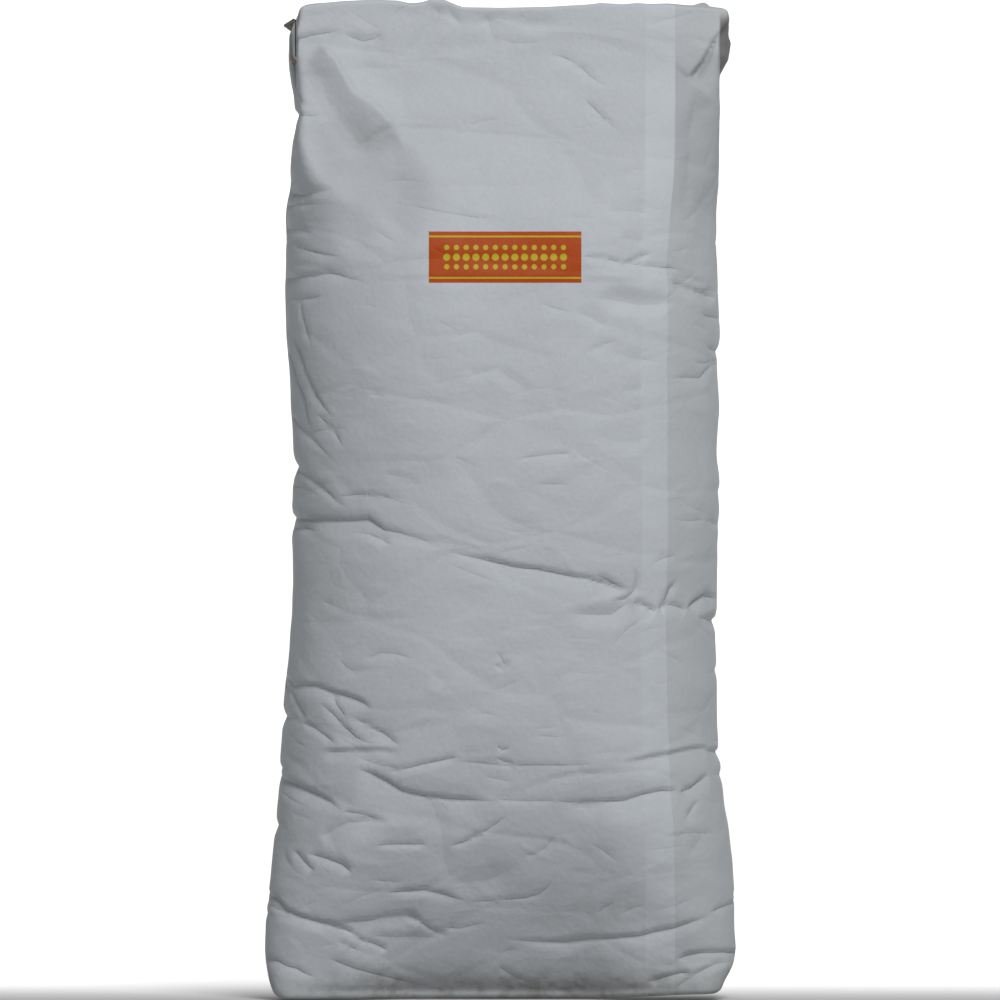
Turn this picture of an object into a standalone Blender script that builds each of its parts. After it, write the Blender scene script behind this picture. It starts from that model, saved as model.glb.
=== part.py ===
"""A filled valve sack of expanded glass granules, standing on its block bottom.

The sack is a tube of white paper, lay-flat width 500 mm, with both ends folded and pasted into
130 mm wide block ends. It stands with its printed face towards -Y and its glued tube seam on the
right of that face. The filling valve is in the left end of the top block.
Units are metres, +Z is up, and the origin is the middle of the base on the floor.
"""

import math

import bmesh
import bpy

# Driving dimensions
SACK_HEIGHT = 0.846
TUBE_GIRTH = 1.000
PAPER = 0.0005
COVER_PAPER = 0.0004
GAP = 0.0003

# The outline as the tube stands: height, reach to the left, reach to the right, how far its
# rounded corners run along the front, the share of the depth they take up, and the share of the
# girth that is drawn taut there
STATIONS = (
    (0.000, 0.1885, 0.1850, 0.016, 0.25, 0.975),
    (0.012, 0.1945, 0.1900, 0.024, 0.36, 0.980),
    (0.030, 0.1990, 0.1990, 0.036, 0.51, 0.985),
    (0.062, 0.1995, 0.1995, 0.055, 0.68, 0.985),
    (0.095, 0.1970, 0.1985, 0.080, 0.79, 0.985),
    (0.140, 0.1930, 0.1940, 0.105, 0.88, 0.984),
    (0.212, 0.1860, 0.1850, 0.130, 0.93, 0.982),
    (0.300, 0.1785, 0.1842, 0.148, 0.95, 0.980),
    (0.410, 0.1748, 0.1843, 0.155, 0.96, 0.978),
    (0.500, 0.1780, 0.1840, 0.155, 0.96, 0.978),
    (0.580, 0.1803, 0.1848, 0.150, 0.95, 0.977),
    (0.640, 0.1808, 0.1833, 0.135, 0.92, 0.975),
    (0.700, 0.1775, 0.1850, 0.100, 0.82, 0.970),
    (0.752, 0.1705, 0.1860, 0.055, 0.60, 0.958),
    (0.783, 0.1775, 0.1862, 0.032, 0.43, 0.955),
    (0.800, 0.1790, 0.1925, 0.020, 0.32, 0.962),
    (0.825, 0.1785, 0.1942, 0.014, 0.23, 0.968),
    (0.846, 0.1725, 0.1925, 0.012, 0.19, 0.960),
)

# Roundness of the folds where the tube turns into its block ends
FOOT_FOLD = 0.006
TOP_FOLD = 0.003

# Points round one level of the tube
CORNER_STEPS = 11
FACE_STEPS = 4
SIDE_STEPS = 2

# Filling valve, a flattened paper sleeve through the left end of the top block
VALVE_HEIGHT = 0.828
SLEEVE_THICKNESS = 0.0016
SLEEVE_LENGTH = 0.105
SLEEVE_TAB = 0.006
SLEEVE_GAP = 0.0005

# The pasted cover sheets, set back from the edges of the block ends
COVER_MARGIN = 0.012

# The granules inside
FILL_CLEARANCE = 0.0006
FILL_LEVEL = 0.796
FILL_SHOULDER = 0.022
FILL_CROWN = 0.006

WHITE_PAPER = (0.62, 0.64, 0.65, 1.0)
KRAFT_PAPER = (0.45, 0.36, 0.26, 1.0)
GLASS_GRANULES = (0.74, 0.72, 0.67, 1.0)


def clear_scene():
    for old in list(bpy.data.objects):
        bpy.data.objects.remove(old, do_unlink=True)


def paint(name, colour, roughness):
    material = bpy.data.materials.new(name)
    material.use_nodes = True
    shader = material.node_tree.nodes["Principled BSDF"]
    shader.inputs["Base Color"].default_value = colour
    shader.inputs["Roughness"].default_value = roughness
    shader.inputs["Metallic"].default_value = 0.0
    return material


def catmull_rom(before, start, end, after, share):
    """A value between start and end on the smooth curve through all four."""
    return 0.5 * (
        2 * start
        + (end - before) * share
        + (2 * before - 5 * start + 4 * end - after) * share**2
        + (3 * start - before - 3 * end + after) * share**3
    )


def station_at(height):
    """Left reach, right reach, corner length, corner share of the depth and taut share here."""
    last = len(STATIONS) - 2
    below = max(i for i in range(last + 1) if STATIONS[i][0] <= height or i == 0)
    rows = [STATIONS[min(max(below + step, 0), last + 1)] for step in (-1, 0, 1, 2)]
    share = (height - rows[1][0]) / (rows[2][0] - rows[1][0])
    return [catmull_rom(*(row[column] for row in rows), share) for column in (1, 2, 3, 4, 5)]


def quarter_ellipse(a, b):
    """Length of a quarter of an ellipse with the half axes a and b."""
    return math.pi / 4 * (3 * (a + b) - math.sqrt((3 * a + b) * (a + 3 * b)))


def size_at(height):
    """Left and right reach, half depth, and the corners' reach along the front and the side.
    The tube keeps its girth, so where it is narrow it is deep."""
    left, right, corner, share, taut = station_at(height)
    flat = left + right - 2 * corner
    shallow, deep = 0.02, 0.20
    for _ in range(40):
        depth = (shallow + deep) / 2
        half_girth = 2 * depth * (1 - share) + 2 * quarter_ellipse(corner, depth * share) + flat
        if half_girth < TUBE_GIRTH * taut / 2:
            shallow = depth
        else:
            deep = depth
    return left, right, depth, corner, depth * share


def outline(height, inset):
    """The points round the tube at a height, anticlockwise from the middle of the right side."""
    left, right, half_depth, along, across = size_at(height)
    left, right, half_depth = left - inset, right - inset, half_depth - inset
    along, across = max(along - inset, 0.002), max(across - inset, 0.002)
    corners = (
        (right - along, half_depth - across, 0),
        (-left + along, half_depth - across, 90),
        (-left + along, -half_depth + across, 180),
        (right - along, -half_depth + across, 270),
    )
    points = []
    for index, (x, y, turn) in enumerate(corners):
        arc = [math.radians(turn + 90 * step / CORNER_STEPS) for step in range(CORNER_STEPS + 1)]
        points += [(x + along * math.cos(a), y + across * math.sin(a)) for a in arc]
        next_x, next_y, next_turn = corners[(index + 1) % 4]
        start = points[-1]
        turned = math.radians(next_turn)
        end = (next_x + along * math.cos(turned), next_y + across * math.sin(turned))
        steps = FACE_STEPS if index % 2 == 0 else SIDE_STEPS
        for step in range(1, steps):
            share = step / steps
            points.append(tuple(s + (e - s) * share for s, e in zip(start, end)))
    return points


def left_side_edges():
    """The places in an outline where the flat of the left side begins and ends."""
    begins = 2 * (CORNER_STEPS + 1) + FACE_STEPS - 2
    return begins, begins + SIDE_STEPS


def loft(name, levels, mouth_level=None):
    """A skin through the outlines at the levels (real height, outline height, inset), with flat
    ends. The mouth level keeps the flat of its left side open."""
    mesh = bmesh.new()
    rings = []
    for height, outline_height, inset in levels:
        points = outline(outline_height, inset)
        rings.append([mesh.verts.new((x, y, height)) for x, y in points])
    around = len(rings[0])
    mouth = range(*left_side_edges())
    for level, (lower, upper) in enumerate(zip(rings, rings[1:])):
        for i in range(around):
            if level == mouth_level and i in mouth:
                continue
            j = (i + 1) % around
            mesh.faces.new((lower[i], lower[j], upper[j], upper[i]))
    mesh.faces.new(reversed(rings[0]))
    mesh.faces.new(rings[-1])
    data = bpy.data.meshes.new(name)
    mesh.to_mesh(data)
    mesh.free()
    return data


def fold_levels(edge_height, fold, clearance, upwards, steps=3):
    """The levels of a rounded fold from a flat end to the wall, or back."""
    levels = []
    for step in range(steps):
        angle = math.radians(90 * step / steps)
        rise = fold * (1 - math.cos(angle))
        inset = fold * (1 - math.sin(angle)) + clearance
        height = edge_height + rise if upwards else edge_height - rise
        levels.append((height, height, inset))
    return levels if upwards else levels[::-1]


def wall_heights(low, high):
    """Even heights up the wall: closer where the foot and the top change quickly."""
    marks = (0.010, 0.020, 0.032, 0.046, 0.062, 0.085, 0.110, 0.140, 0.175, 0.215, 0.260,
             0.310, 0.365, 0.420, 0.475, 0.530, 0.580, 0.625, 0.665, 0.700, 0.728, 0.752,
             0.768, 0.783, 0.797, 0.812)
    return [mark for mark in marks if low < mark < high]


def place(name, data, material, collection):
    made = bpy.data.objects.new(name, data)
    data.materials.append(material)
    data.shade_smooth()
    data.set_sharp_from_angle(angle=math.radians(40))
    collection.objects.link(made)
    return made


def build_sack(collection, paper):
    """The glued paper tube with its block ends: a thin shell, open only at the valve."""
    foot = COVER_PAPER + GAP
    top = SACK_HEIGHT - COVER_PAPER - GAP
    half_mouth = SLEEVE_THICKNESS / 2 + SLEEVE_GAP
    mouth = [VALVE_HEIGHT - half_mouth, VALVE_HEIGHT + half_mouth]
    walls = wall_heights(foot + FOOT_FOLD, mouth[0] - TOP_FOLD) + mouth
    levels = fold_levels(foot, FOOT_FOLD, 0.0, upwards=True)
    levels += [(height, height, 0.0) for height in walls]
    mouth_level = len(levels) - 2
    levels += [(top - TOP_FOLD, top - TOP_FOLD, 0.0)]
    levels += fold_levels(top, TOP_FOLD, 0.0, upwards=False)
    sack = place("sack", loft("sack", levels, mouth_level), paper, collection)
    shell = sack.modifiers.new("paper", "SOLIDIFY")
    shell.thickness = PAPER
    shell.offset = -1
    shell.use_even_offset = True
    return sack


def build_granules(collection, granules):
    """The loose granules as one body, settled below the top block and slightly heaped."""
    floor = COVER_PAPER + GAP + PAPER + GAP
    clearance = PAPER + FILL_CLEARANCE
    shoulder = FILL_LEVEL - FILL_SHOULDER
    levels = fold_levels(floor, FOOT_FOLD + FILL_CLEARANCE, clearance, upwards=True)
    walls = wall_heights(floor + FOOT_FOLD, shoulder)
    levels += [(height, height, clearance) for height in walls]
    levels += fold_levels(FILL_LEVEL, FILL_SHOULDER, clearance, upwards=False, steps=4)
    levels.append((FILL_LEVEL + FILL_CROWN, FILL_LEVEL, 2 * FILL_SHOULDER))
    return place("granule_fill", loft("granule_fill", levels), granules, collection)


def build_sheet(name, size, centre, material, collection):
    """A flat sheet of paper lying level."""
    mesh = bmesh.new()
    bmesh.ops.create_cube(mesh, size=1.0)
    bmesh.ops.scale(mesh, vec=size, verts=mesh.verts)
    data = bpy.data.meshes.new(name)
    mesh.to_mesh(data)
    mesh.free()
    made = place(name, data, material, collection)
    made.location = centre
    return made


def build_cover(name, end_height, centre_height, material, collection):
    """A cover sheet pasted over a block end."""
    left, right, half_depth, _, _ = size_at(end_height)
    size = (left + right - 2 * COVER_MARGIN, 2 * (half_depth - COVER_MARGIN), COVER_PAPER)
    centre = ((right - left) / 2, 0.0, centre_height)
    return build_sheet(name, size, centre, material, collection)


def build_valve(collection, kraft):
    """The flattened sleeve: a paper tube open at both ends, with its tab outside the sack."""
    mouth_points = outline(VALVE_HEIGHT, 0.0)
    begins, ends = left_side_edges()
    width = mouth_points[begins][1] - mouth_points[ends][1] - 2 * SLEEVE_GAP
    outer_end = mouth_points[begins][0] - SLEEVE_TAB
    mesh = bmesh.new()
    bmesh.ops.create_cube(mesh, size=1.0)
    open_ends = [face for face in mesh.faces if abs(face.normal.x) > 0.5]
    bmesh.ops.delete(mesh, geom=open_ends, context="FACES_ONLY")
    bmesh.ops.scale(mesh, vec=(SLEEVE_LENGTH, width, SLEEVE_THICKNESS), verts=mesh.verts)
    data = bpy.data.meshes.new("valve_sleeve")
    mesh.to_mesh(data)
    mesh.free()
    sleeve = place("valve_sleeve", data, kraft, collection)
    sleeve.location = (outer_end + SLEEVE_LENGTH / 2, 0.0, VALVE_HEIGHT)
    wall = sleeve.modifiers.new("paper", "SOLIDIFY")
    wall.thickness = PAPER
    wall.offset = -1
    wall.use_even_offset = True
    return sleeve


def main():
    clear_scene()
    collection = bpy.data.collections.new("granule_sack")
    bpy.context.scene.collection.children.link(collection)
    white = paint("white_paper", WHITE_PAPER, 0.6)
    kraft = paint("kraft_paper", KRAFT_PAPER, 0.75)
    granules = paint("glass_granules", GLASS_GRANULES, 0.8)
    build_sack(collection, white)
    build_granules(collection, granules)
    build_cover("bottom_cover_sheet", 0.0, COVER_PAPER / 2, white, collection)
    top_centre = SACK_HEIGHT - COVER_PAPER / 2
    build_cover("top_cover_sheet", SACK_HEIGHT, top_centre, white, collection)
    build_valve(collection, kraft)


main()
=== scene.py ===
"""The looks of a paper valve sack of expanded glass granules, standing on its block bottom.

Lengths are metres. X runs to the right along the front, -Y is the way the front faces, Z is up.
The folds of the front are placed in the pixels of the 1000 x 1000 photo, those of the back in
millimetres, as they would be measured on the sack.
"""

import math

import bpy
import numpy as np
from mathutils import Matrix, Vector


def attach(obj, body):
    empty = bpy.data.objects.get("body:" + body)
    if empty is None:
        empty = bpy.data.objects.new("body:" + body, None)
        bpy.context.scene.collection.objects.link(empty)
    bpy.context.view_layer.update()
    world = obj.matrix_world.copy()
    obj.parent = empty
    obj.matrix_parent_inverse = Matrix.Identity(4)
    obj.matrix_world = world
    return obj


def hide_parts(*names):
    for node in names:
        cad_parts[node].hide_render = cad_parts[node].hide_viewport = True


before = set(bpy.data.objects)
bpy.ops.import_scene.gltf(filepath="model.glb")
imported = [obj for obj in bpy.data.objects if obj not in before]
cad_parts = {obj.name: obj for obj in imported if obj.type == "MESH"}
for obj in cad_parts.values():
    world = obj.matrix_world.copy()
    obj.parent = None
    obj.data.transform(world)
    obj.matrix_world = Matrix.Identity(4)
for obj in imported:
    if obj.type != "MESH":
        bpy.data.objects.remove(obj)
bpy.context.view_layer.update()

# THE TUBE, FRONT AND BACK
# One tube of white paper, 500 mm wide when it lay flat, glued along its length. The two edges it
# was pressed to when flat run up the middle of its ends, and they part the front from the back.
# Its girth never changes, so it is deep where it is narrow.

TUBE_GIRTH = 1.000
FOOT_HEIGHT = 0.0012
TUBE_TOP = 0.8453
FOOT_FOLD = 0.006
TOP_FOLD = 0.003

# Height, reach to the left and to the right, how far the rounded corners on the left and on the
# right run along the front, the share of the depth they take up, share of the girth drawn taut
STATIONS = np.array((
    (0.000, 0.1885, 0.1850, 0.016, 0.016, 0.25, 0.958),
    (0.012, 0.1945, 0.1900, 0.024, 0.024, 0.36, 0.963),
    (0.030, 0.1990, 0.1990, 0.036, 0.036, 0.51, 0.972),
    (0.062, 0.1995, 0.1995, 0.055, 0.055, 0.68, 0.983),
    (0.095, 0.1970, 0.1985, 0.080, 0.080, 0.79, 0.992),
    (0.140, 0.1930, 0.1940, 0.105, 0.105, 0.88, 0.998),
    (0.212, 0.1860, 0.1850, 0.126, 0.126, 0.92, 0.992),
    (0.300, 0.1797, 0.1842, 0.142, 0.142, 0.94, 0.984),
    (0.410, 0.1752, 0.1843, 0.148, 0.148, 0.94, 0.978),
    (0.500, 0.1780, 0.1840, 0.148, 0.148, 0.94, 0.978),
    (0.580, 0.1803, 0.1860, 0.142, 0.142, 0.94, 0.977),
    (0.640, 0.1808, 0.1845, 0.112, 0.120, 0.86, 0.975),
    (0.695, 0.1780, 0.1849, 0.030, 0.092, 0.70, 0.968),
    (0.725, 0.1752, 0.1851, 0.010, 0.068, 0.50, 0.961),
    (0.752, 0.1706, 0.1853, 0.005, 0.042, 0.30, 0.955),
    (0.783, 0.1722, 0.1853, 0.006, 0.016, 0.13, 0.949),
    (0.805, 0.1727, 0.1855, 0.003, 0.006, 0.06, 0.948),
    (0.822, 0.1727, 0.1866, 0.003, 0.004, 0.05, 0.950),
    (0.836, 0.1702, 0.1925, 0.003, 0.004, 0.05, 0.952),
    (0.846, 0.1692, 0.1925, 0.003, 0.004, 0.05, 0.950),
))

# How much further the back of the top block sticks out than its front at each end, by height in
# metres, and how deep the end is folded in between them, both in millimetres
LEFT_EAR = np.array(((0.740, 0, 0), (0.752, 0, 3), (0.757, 4, 4), (0.772, 5, 8), (0.790, 7, 11),
                     (0.812, 7.5, 13), (0.824, 8, 12), (0.832, 6, 9), (0.838, 3, 6), (0.846, 0, 3)))
RIGHT_EAR = np.array(((0.740, 0, 0), (0.770, 0, 5), (0.786, 1, 8), (0.800, 8, 11),
                      (0.8165, 10, 13), (0.834, 3, 10), (0.846, 0, 4)))

# The line of the top edges of the block, as x and height in millimetres
FRONT_TOP_EDGE = np.array(((-170, 840.7), (-160, 843.2), (-139, 845.2), (-112, 846.9),
                           (-87, 846.2), (-75, 843.3), (-64, 845.2), (-58, 847.6), (-48, 847.4),
                           (-32, 840.8), (0, 840.2), (42, 841.1), (77, 843.2), (85, 844.4),
                           (104, 843.2), (116, 844.3), (128, 843.2), (140, 843.6), (156, 841.9),
                           (180, 840.3), (193, 839.0)))
BACK_TOP_EDGE = np.array(((-170, 839), (-120, 843), (-66, 844), (-58, 848.4), (-48, 848.0),
                          (-36, 842), (0, 838), (80, 840), (150, 841.8), (160, 842.6),
                          (175, 847.8), (181, 841), (193, 837.5)))

# The photo's scale on the front of the sack, and its pixels at the sack's middle and at the floor
MM_PER_PIXEL = 0.85
PHOTO_MIDDLE, PHOTO_FLOOR = 500, 998.5

# The folds of the front: name, the line it runs along in pixels of the photo, how far it seems
# to stand out just above the line in millimetres and how wide that slope is in pixels, the same
# just below the line, and last the shares of the line over which it fades in and out and how
# crisp it is, from 0 to 1. A line that passes the sack's edge in the photo runs on round the side.
FRONT_FOLDS = (
    ("hem left", ((285, 41), (300, 40), (312, 37), (330, 35), (342, 32)), (-3.2, 9), (-2.6, 12),
     (0.2, 0.3, 1)),
    ("hem middle", ((343, 35), (354, 41), (364, 44), (374, 42), (386, 35)), (-4.2, 10), (-3, 12),
     (0.3, 0.25, 0.8)),
    ("ear foot", ((280, 117), (302, 117), (314, 118), (328, 116)), (-2, 4), (-2, 7), (0.2, 0.3, 1)),
    ("ear nick", ((300, 97), (304, 105), (308, 112)), (-1.2, 4), (-1.2, 3), (0.3, 0.3, 1)),
    ("top nick", ((412, 5), (402, 12), (392, 22)), (-1, 5), (-1, 6), (0.2, 0.4, 1)),
    ("top run left", ((442, 12), (432, 28), (420, 42), (405, 58), (395, 75)), (-2.1, 9), (-2.1, 8),
     (0.1, 0.5, 0.3)),
    ("top run mid", ((446, 8), (453, 17), (462, 28)), (-1.8, 6), (-1.8, 6), (0.2, 0.5, 0.3)),
    ("top run right", ((486, 10), (491, 28), (497, 50)), (-2.1, 8), (-2.1, 8), (0.2, 0.5, 0.3)),
    ("top hollow", ((432, 48), (455, 50), (485, 46), (515, 40)), (-1.6, 14), (-1.6, 12), (0.4, 0.4, 0)),
    ("top hollow right", ((510, 27), (535, 25), (565, 20)), (-1.9, 8), (-1.9, 9), (0.4, 0.4, 0)),
    ("side pinch", ((230, 186), (270, 188), (290, 194), (303, 197), (320, 194), (338, 190)), (-5.2, 22),
     (-5.8, 9), (0.3, 0.3, 0.6)),
    ("side tuck", ((270, 206), (300, 207), (323, 206)), (-2.6, 8), (-2.6, 5), (0.2, 0.3, 1)),
    ("side wedge", ((262, 228), (285, 229), (301, 231), (317, 237)), (-4.2, 16), (-4.2, 6),
     (0.2, 0.3, 0.5)),
    ("side wedge low", ((290, 246), (306, 252), (322, 256), (341, 259)), (-2.2, 9), (-2.2, 6),
     (0.3, 0.3, 1)),
    ("breast line", ((372, 200), (400, 205), (422, 210), (446, 215), (473, 220), (500, 222), (520, 225)),
     (-1.6, 5), (-1.6, 16), (0.4, 0.3, 1)),
    ("breast slope", ((372, 200), (388, 215), (405, 232), (428, 248)), (-1.5, 14), (-1.5, 10),
     (0.3, 0.4, 0)),
    ("left pleat", ((270, 280), (296, 279), (312, 277), (328, 275), (340, 277), (352, 281), (366, 283)),
     (-3.4, 7), (-3.4, 11), (0.2, 0.25, 1)),
    ("band lip left", ((366, 283), (395, 282), (425, 281), (460, 282), (500, 282), (540, 282), (583, 282)),
     (0.9, 16), (-0.9, 11), (0.2, 0.1, 1)),
    ("band top left", ((366, 275), (395, 263), (425, 261), (460, 260), (500, 259), (540, 258), (581, 258)),
     (-0.9, 7), (-0.9, 8), (0.2, 0.1, 0.5)),
    ("band top right", ((581, 258), (600, 260), (625, 266), (650, 268), (675, 270), (690, 272)), (-2.2, 3),
     (-2.2, 8), (0.1, 0.3, 1)),
    ("band lip right", ((583, 282), (605, 282), (640, 283), (672, 285)), (2.6, 15), (0.4, 8),
     (0.1, 0.2, 1)),
    ("band pocket", ((620, 269), (632, 263), (642, 259), (654, 255)), (-3.4, 8), (-3.2, 7), (0.25, 0.4, 1)),
    ("right wedge", ((666, 282), (678, 286), (692, 290), (706, 295), (717, 299)), (-9, 18), (-7, 9),
     (0.25, 0.25, 1)),
    ("under band", ((590, 298), (615, 302), (640, 307), (658, 306), (676, 303)), (-7.5, 15), (-6, 12),
     (0.3, 0.3, 0.3)),
    ("low slope", ((572, 312), (590, 319), (607, 329)), (-2.2, 9), (-2.2, 9), (0.3, 0.3, 0.3)),
    ("low hollow", ((585, 350), (608, 353), (632, 360)), (-1.7, 14), (-1.7, 10), (0.4, 0.4, 0)),
    ("left strand a", ((300, 300), (304, 315), (308, 332), (314, 350)), (-1.6, 7), (-1.6, 7),
     (0.2, 0.4, 1)),
    ("left strand b", ((292, 330), (300, 352), (306, 374), (315, 395), (324, 407), (334, 419)), (-3, 7),
     (-3, 9), (0.3, 0.25, 1)),
    ("left strand c", ((284, 335), (291, 355), (297, 378), (303, 400), (307, 421), (318, 441)), (-3, 8),
     (-3, 9), (0.3, 0.3, 1)),
    ("left strand d", ((288, 412), (298, 425), (309, 436), (321, 448), (333, 460)), (-2.2, 7), (-2.2, 8),
     (0.3, 0.3, 1)),
    ("left strand e", ((318, 414), (326, 423), (336, 434), (346, 450)), (-1.4, 7), (-1.4, 7),
     (0.3, 0.4, 1)),
    ("left tuck low", ((290, 300), (300, 301), (313, 300), (326, 296)), (-1.8, 8), (-1.8, 6),
     (0.3, 0.3, 1)),
    ("soft dip a", ((455, 368), (478, 375), (502, 370)), (-1.3, 9), (-1.3, 8), (0.4, 0.4, 0.2)),
    ("soft dip b", ((492, 368), (515, 382), (537, 398)), (-1.8, 9), (-1.8, 11), (0.3, 0.4, 0.2)),
    ("soft dip c", ((415, 350), (430, 372), (452, 394)), (-1.1, 12), (-1.1, 10), (0.4, 0.4, 0)),
    ("chest tick", ((513, 461), (530, 457), (548, 454.5), (572, 453.5)), (-1.4, 4), (-1.4, 6),
     (0.4, 0.1, 1)),
    ("soft dip d", ((382, 474), (402, 477), (424, 483)), (-1.1, 5), (-1.1, 10), (0.3, 0.4, 0.5)),
    ("notch run", ((255, 466), (285, 467), (297, 470), (307, 477), (320, 487), (336, 501), (352, 511)),
     (-3, 11), (-3, 7), (0.3, 0.3, 1)),
    ("notch run low", ((290, 484), (300, 487), (310, 491), (322, 496)), (-1.5, 5), (-1.5, 4),
     (0.2, 0.4, 1)),
    ("waist brow", ((336, 497), (355, 495), (372, 495), (390, 499), (410, 505)), (-1.8, 5), (-1.8, 13),
     (0.3, 0.4, 1)),
    ("waist lower", ((352, 533), (368, 534), (380, 538), (394, 546)), (-1.8, 6), (-1.8, 6), (0.4, 0.2, 1)),
    ("waist pocket", ((260, 528), (285, 527), (300, 528), (318, 531)), (-3.5, 5), (-3.5, 4), (0.3, 0.3, 1)),
    ("belly hook", ((632, 566), (637, 576), (636, 588), (626, 598), (610, 601)), (-2.5, 6), (-2.5, 5),
     (0.3, 0.3, 1)),
    ("seam recess a", ((632, 601), (645, 604), (658, 611)), (-4, 8), (-4.4, 13), (0.2, 0.2, 1)),
    ("seam recess b", ((677, 578), (671, 590), (666, 602), (659, 612)), (-4.4, 8), (-4.2, 7),
     (0.3, 0.15, 1)),
    ("seam recess c", ((659, 611), (668, 603), (678, 606), (688, 610)), (-3.6, 9), (-3.8, 9),
     (0.2, 0.2, 1)),
    ("right fold", ((686, 610), (696, 602), (707, 595), (716, 599), (724, 602)), (-6.6, 10), (-6.4, 11),
     (0.15, 0.5, 1)),
    ("right notch", ((690, 615), (706, 618), (714, 619), (740, 621), (790, 623)), (-6.5, 10), (-6.5, 11),
     (0.4, 0.4, 1)),
    ("right tick", ((672, 520), (688, 521), (704, 520)), (-1.2, 7), (-1.2, 5), (0.4, 0.2, 1)),
    ("right side dip", ((702, 520), (714, 523), (740, 525)), (-2.4, 7), (-2.4, 6), (0.3, 0.3, 1)),
    ("right side dent a", ((698, 314), (710, 317), (725, 320), (735, 321)), (-2.9, 10), (-2.8, 8),
     (0.25, 0.5, 1)),
    ("right side notch", ((702, 343), (712, 350), (735, 353), (780, 355)), (-4.5, 12), (-4.1, 10),
     (0.25, 0.4, 1)),
    ("right vee", ((670, 378), (686, 379), (700, 378), (712, 366), (730, 362)), (-3.2, 11), (-2.9, 8),
     (0.2, 0.3, 1)),
    ("right vee top", ((690, 362), (703, 364), (716, 361)), (-1.5, 8), (-1.5, 4), (0.3, 0.3, 1)),
    ("seam dip a", ((620, 391), (632, 391), (645, 389)), (-1.6, 8), (-1.6, 6), (0.3, 0.3, 0.3)),
    ("seam dip b", ((588, 434), (610, 441), (632, 442), (650, 435)), (-1.9, 16), (-1.9, 11),
     (0.3, 0.3, 0.2)),
    ("shoulder line a", ((548, 55), (565, 60), (580, 69), (590, 78), (607, 90)), (-1.8, 7), (-1.8, 8),
     (0.3, 0.4, 1)),
    ("shoulder line b", ((583, 101), (595, 113), (605, 122), (618, 133)), (-2.1, 7), (-2.1, 8),
     (0.3, 0.4, 1)),
    ("shoulder line c", ((553, 138), (573, 166), (592, 197)), (-1, 8), (-1, 8), (0.4, 0.4, 0.3)),
    ("shoulder dent", ((602, 194), (618, 181), (634, 172), (646, 174)), (-2.7, 10), (-2.7, 9),
     (0.3, 0.2, 0.3)),
    ("shoulder shelf", ((600, 215), (620, 213), (638, 214), (650, 216)), (-2.7, 11), (-2.7, 7),
     (0.3, 0.3, 0.3)),
    ("shoulder shelf low", ((618, 240), (632, 241), (646, 244)), (-2.2, 9), (-2.2, 7), (0.3, 0.3, 0.3)),
    ("ear right tuck", ((688, 82), (693, 76), (703, 62), (716, 38), (727, 15)), (4, 22), (-9, 26),
     (0.06, 0.9, 0)),
    ("ear right pocket", ((690, 80), (694, 77), (703, 64), (712, 46), (722, 26)), (-2, 4), (-5, 6),
     (0.1, 0.5, 1)),
    ("ear right run a", ((697, 88), (698, 104), (694, 122), (688, 142)), (-1.3, 8), (-1.3, 7),
     (0.2, 0.5, 0.3)),
    ("ear right run b", ((712, 140), (708, 158), (702, 172)), (-1, 7), (-1, 7), (0.3, 0.4, 0.3)),
    ("faint belly", ((330, 609), (352, 613), (380, 617), (420, 617)), (-1.3, 6), (-1.3, 7),
     (0.4, 0.4, 0.2)),
    ("hip line", ((360, 663), (370, 656), (381, 652), (397, 653), (420, 658)), (-1.5, 6), (-1.5, 8),
     (0.3, 0.4, 1)),
    ("hip facet", ((340, 657), (346, 666), (356, 671), (368, 664)), (-1, 6), (-1, 6), (0.3, 0.3, 1)),
    ("hip smudge", ((430, 672), (440, 677), (450, 682)), (-1.5, 8), (-1.5, 8), (0.3, 0.3, 0.2)),
    ("hip fold", ((268, 672), (288, 680), (293, 685), (305, 684.5), (318, 686), (332, 691), (346, 695),
     (362, 701), (375, 709)), (-4.2, 6), (-4.2, 8), (0.25, 0.12, 1)),
    ("hip drop", ((348, 715), (366, 722), (384, 732), (402, 746)), (-4.6, 14), (-4.4, 13), (0.3, 0.25, 1)),
    ("hip run a", ((332, 692), (336, 703), (342, 711), (348, 717)), (-1.7, 5), (-1.7, 5), (0.2, 0.3, 1)),
    ("hip run b", ((320, 701), (332, 712), (345, 726), (356, 736), (368, 741), (388, 742)), (-2.2, 6),
     (-2.2, 7), (0.2, 0.4, 1)),
    ("thigh edge a", ((268, 668), (286, 686), (294, 697), (301, 710), (309, 723)), (-3, 6), (-3, 6),
     (0.3, 0.2, 1)),
    ("thigh edge b", ((302, 721), (314, 727), (326, 735), (339, 744)), (-2.4, 6), (-2.4, 6), (0.2, 0.3, 1)),
    ("knee lip", ((318, 750), (346, 748.5), (377, 747.5), (406, 750)), (2.6, 9), (-5, 11), (0.25, 0.2, 1)),
    ("knee run", ((352, 753), (368, 758), (384, 763), (402, 768)), (-1.4, 5), (-1.4, 6), (0.3, 0.2, 1)),
    ("knee tick", ((388, 769), (400, 767.5), (425, 762), (458, 754.5)), (-2.4, 6), (-2.4, 6),
     (0.15, 0.1, 1)),
    ("knee thread", ((455, 759), (480, 761), (505, 763), (535, 763.5), (570, 763), (605, 761)), (-1.3, 6),
     (-1.3, 12), (0.2, 0.4, 1)),
    ("shin fold", ((357, 765), (370, 771), (385, 778), (402, 789), (425, 794), (455, 797), (496, 798.5)),
     (-7.6, 19), (-7.6, 28), (0.15, 0.25, 1)),
    ("shin line", ((494, 797), (525, 798), (558, 799)), (-1.1, 5), (-1.1, 6), (0.2, 0.2, 1)),
    ("shin side fold", ((215, 768), (250, 772), (272, 776), (284, 780), (300, 787), (320, 795), (332, 801),
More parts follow.
